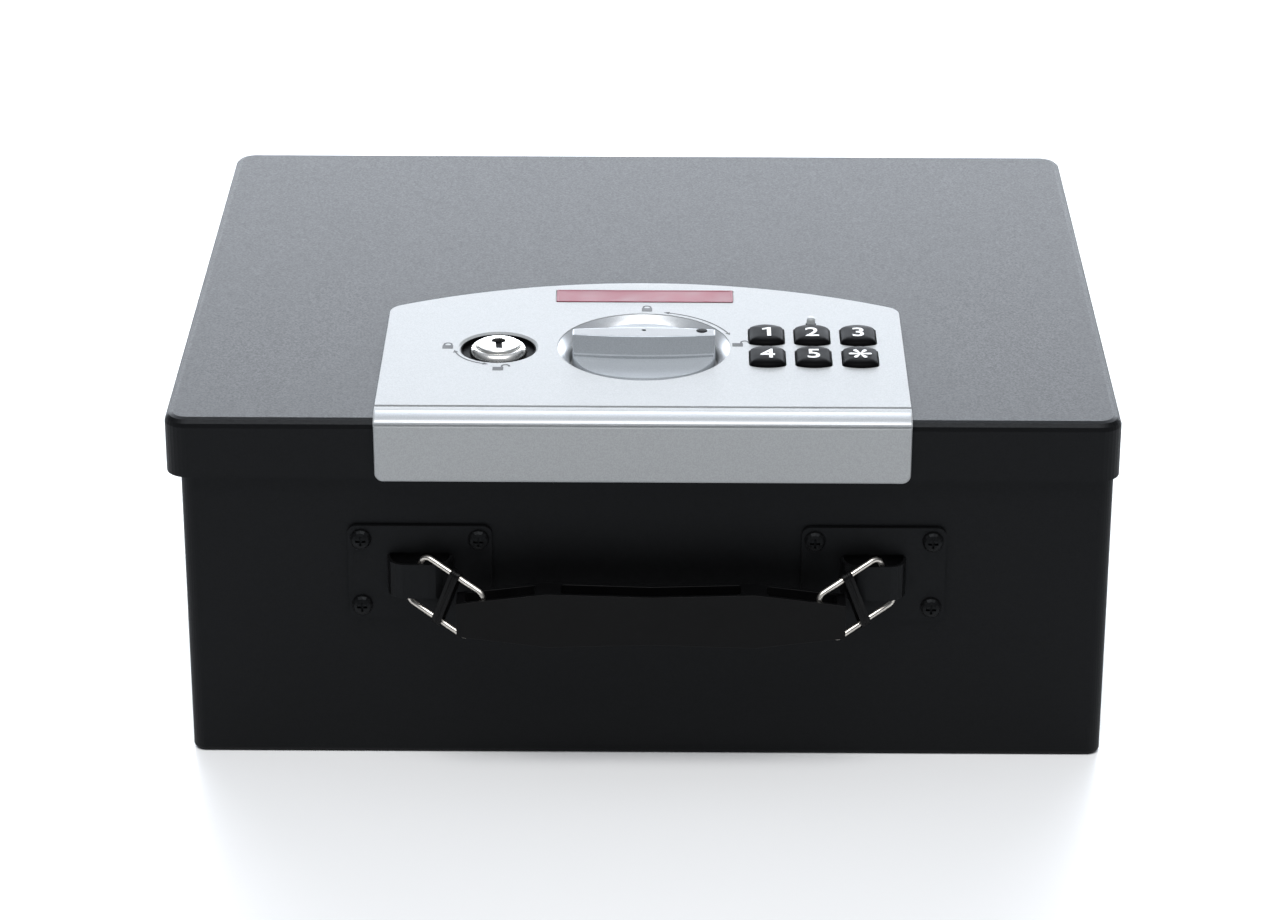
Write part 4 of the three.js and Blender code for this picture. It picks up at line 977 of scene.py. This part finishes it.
def make_ring_clip(side):
    """A moulded strap round both long wires, with a shallow groove down its middle."""
    origin, along, up = ring_frame(side)
    half = RING_HEIGHT / 2
    normal = along.cross(up)
    bm = bmesh.new()
    back = (STRAP_SECTION[-1], STRAP_SECTION[0])
    rings = []
    for radius, section in ((STRAP_OUTER, STRAP_SECTION), (STRAP_INNER, back)):
        for shift, swell in section:
            size = radius + swell * MM
            middle = origin + along * (STRAP_PLACE + shift * MM)
            path = arc(0, half, size, 0, 180, 8) + arc(0, -half, size, 180, 360, 8)
            rings.append([bm.verts.new(middle + normal * a + up * b) for a, b in path])
    for low, high in zip(rings, rings[1:] + rings[:1]):
        for k in range(len(low)):
            nxt = (k + 1) % len(low)
            bm.faces.new((low[k], low[nxt], high[nxt], high[k]))
    bmesh.ops.recalc_face_normals(bm, faces=bm.faces)
    clip = piece_from(f"ring_{side}_strap", bm, "black_plastic", f"ring_{side}", [f"ring_clip_{side}"])
    shade_smooth(clip, 35)


# Half the grip's height at places along it, in millimetres: a slimmer middle, a crest, a slim end.
GRIP_STATIONS = ((0.0, 9.15), (36.0, 10.2), (67.25, 6.3))
GRIP_CREST = 36 * MM
GRIP_WALL = 1.4 * MM
GRIP_POCKET_START = 40 * MM        # the end pockets begin here
GRIP_POCKET_HALF = 31 * MM         # half the middle pocket's length


def grip_half_height(x):
    """Half the grip's height at a distance from its middle."""
    x = abs(x) / MM
    for (x0, h0), (x1, h1) in zip(GRIP_STATIONS, GRIP_STATIONS[1:]):
        if x <= x1:
            return (h0 + (h1 - h0) * (x - x0) / (x1 - x0)) * MM
    return GRIP_STATIONS[-1][1] * MM


def make_grip():
    """Hollow moulded bar: thin walls, open end pockets for the rings, and a closed middle pocket."""
    low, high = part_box("handle_grip")
    cx = (low.x + high.x) / 2
    cz = (low.z + high.z) / 2
    half = (high.x - low.x) / 2
    front, rear = low.y + GRIP_WALL, high.y - GRIP_WALL
    stops = [-half, -GRIP_CREST, 0.0, GRIP_CREST, half]
    outline = [(cx + x, cz - grip_half_height(x)) for x in stops]
    outline += [(cx + x, cz + grip_half_height(x)) for x in reversed(stops)]
    bar = prism(outline, low.y, high.y, "y")
    tools = []
    for side in (-1, 1):
        ends = sorted((cx + side * GRIP_POCKET_START, cx + side * (half - 3 * MM)))
        pocket = rounded_outline(*ends, front, rear, 1 * MM, 4)
        tools.append(prism(pocket, cz - 0.02, cz + 0.02))
    middle = rounded_outline(cx - GRIP_POCKET_HALF, cx + GRIP_POCKET_HALF, front, rear, 1 * MM, 4)
    tools.append(prism(middle, cz + 4.5 * MM, cz + 0.02))
    grip = piece_from("grip_moulding", cut(bar, *tools), "black_plastic", "grip", ["handle_grip"])
    soften(grip, 0.45 * MM, 3, 12)


# ---------------------------------------------------------------- the rest of the frame

# CAD nodes whose edges are rounded, and the width in millimetres.
EDGE_ROUND = {
    "handle_plate_left": 0.3, "handle_plate_right": 0.3,
    "hinge_base_leaf_left": 0.2, "hinge_base_leaf_right": 0.2, "hinge_lid_leaf_left": 0.2,
    "hinge_lid_leaf_right": 0.2, "strike_plate": 0.2, "works_cover": 0.4, "battery_door": 0.3,
    "base_liner": 0.4, "lid_liner": 0.4, "base_gasket": 0.6, "bolt_plate": 0.2, "base_insulation": 0.5,
    "lid_insulation": 0.5,
}


def dress_frame():
    """Gives every CAD node its look, and rounds or smooths its edges."""
    for row in frame["record"]["subparts"]:
        node = nodes[row["node"]]
        node.data.materials.clear()
        node.data.materials.append(LOOKS[row["material_slot"]])
        if row["node"] in EDGE_ROUND:
            flatten_facets(node)
            soften(node, EDGE_ROUND[row["node"]] * MM)
        else:
            shade_smooth(node)


make_camera()
make_studio()
dress_frame()
make_cover()
make_knob()
make_key_lock()
make_lens()
make_prints()
make_badge()
make_grip()
for ring_side in ("left", "right"):
    make_ring(ring_side)
    make_ring_clip(ring_side)
for button_name, figure in BUTTONS.items():
    make_button(button_name, figure)
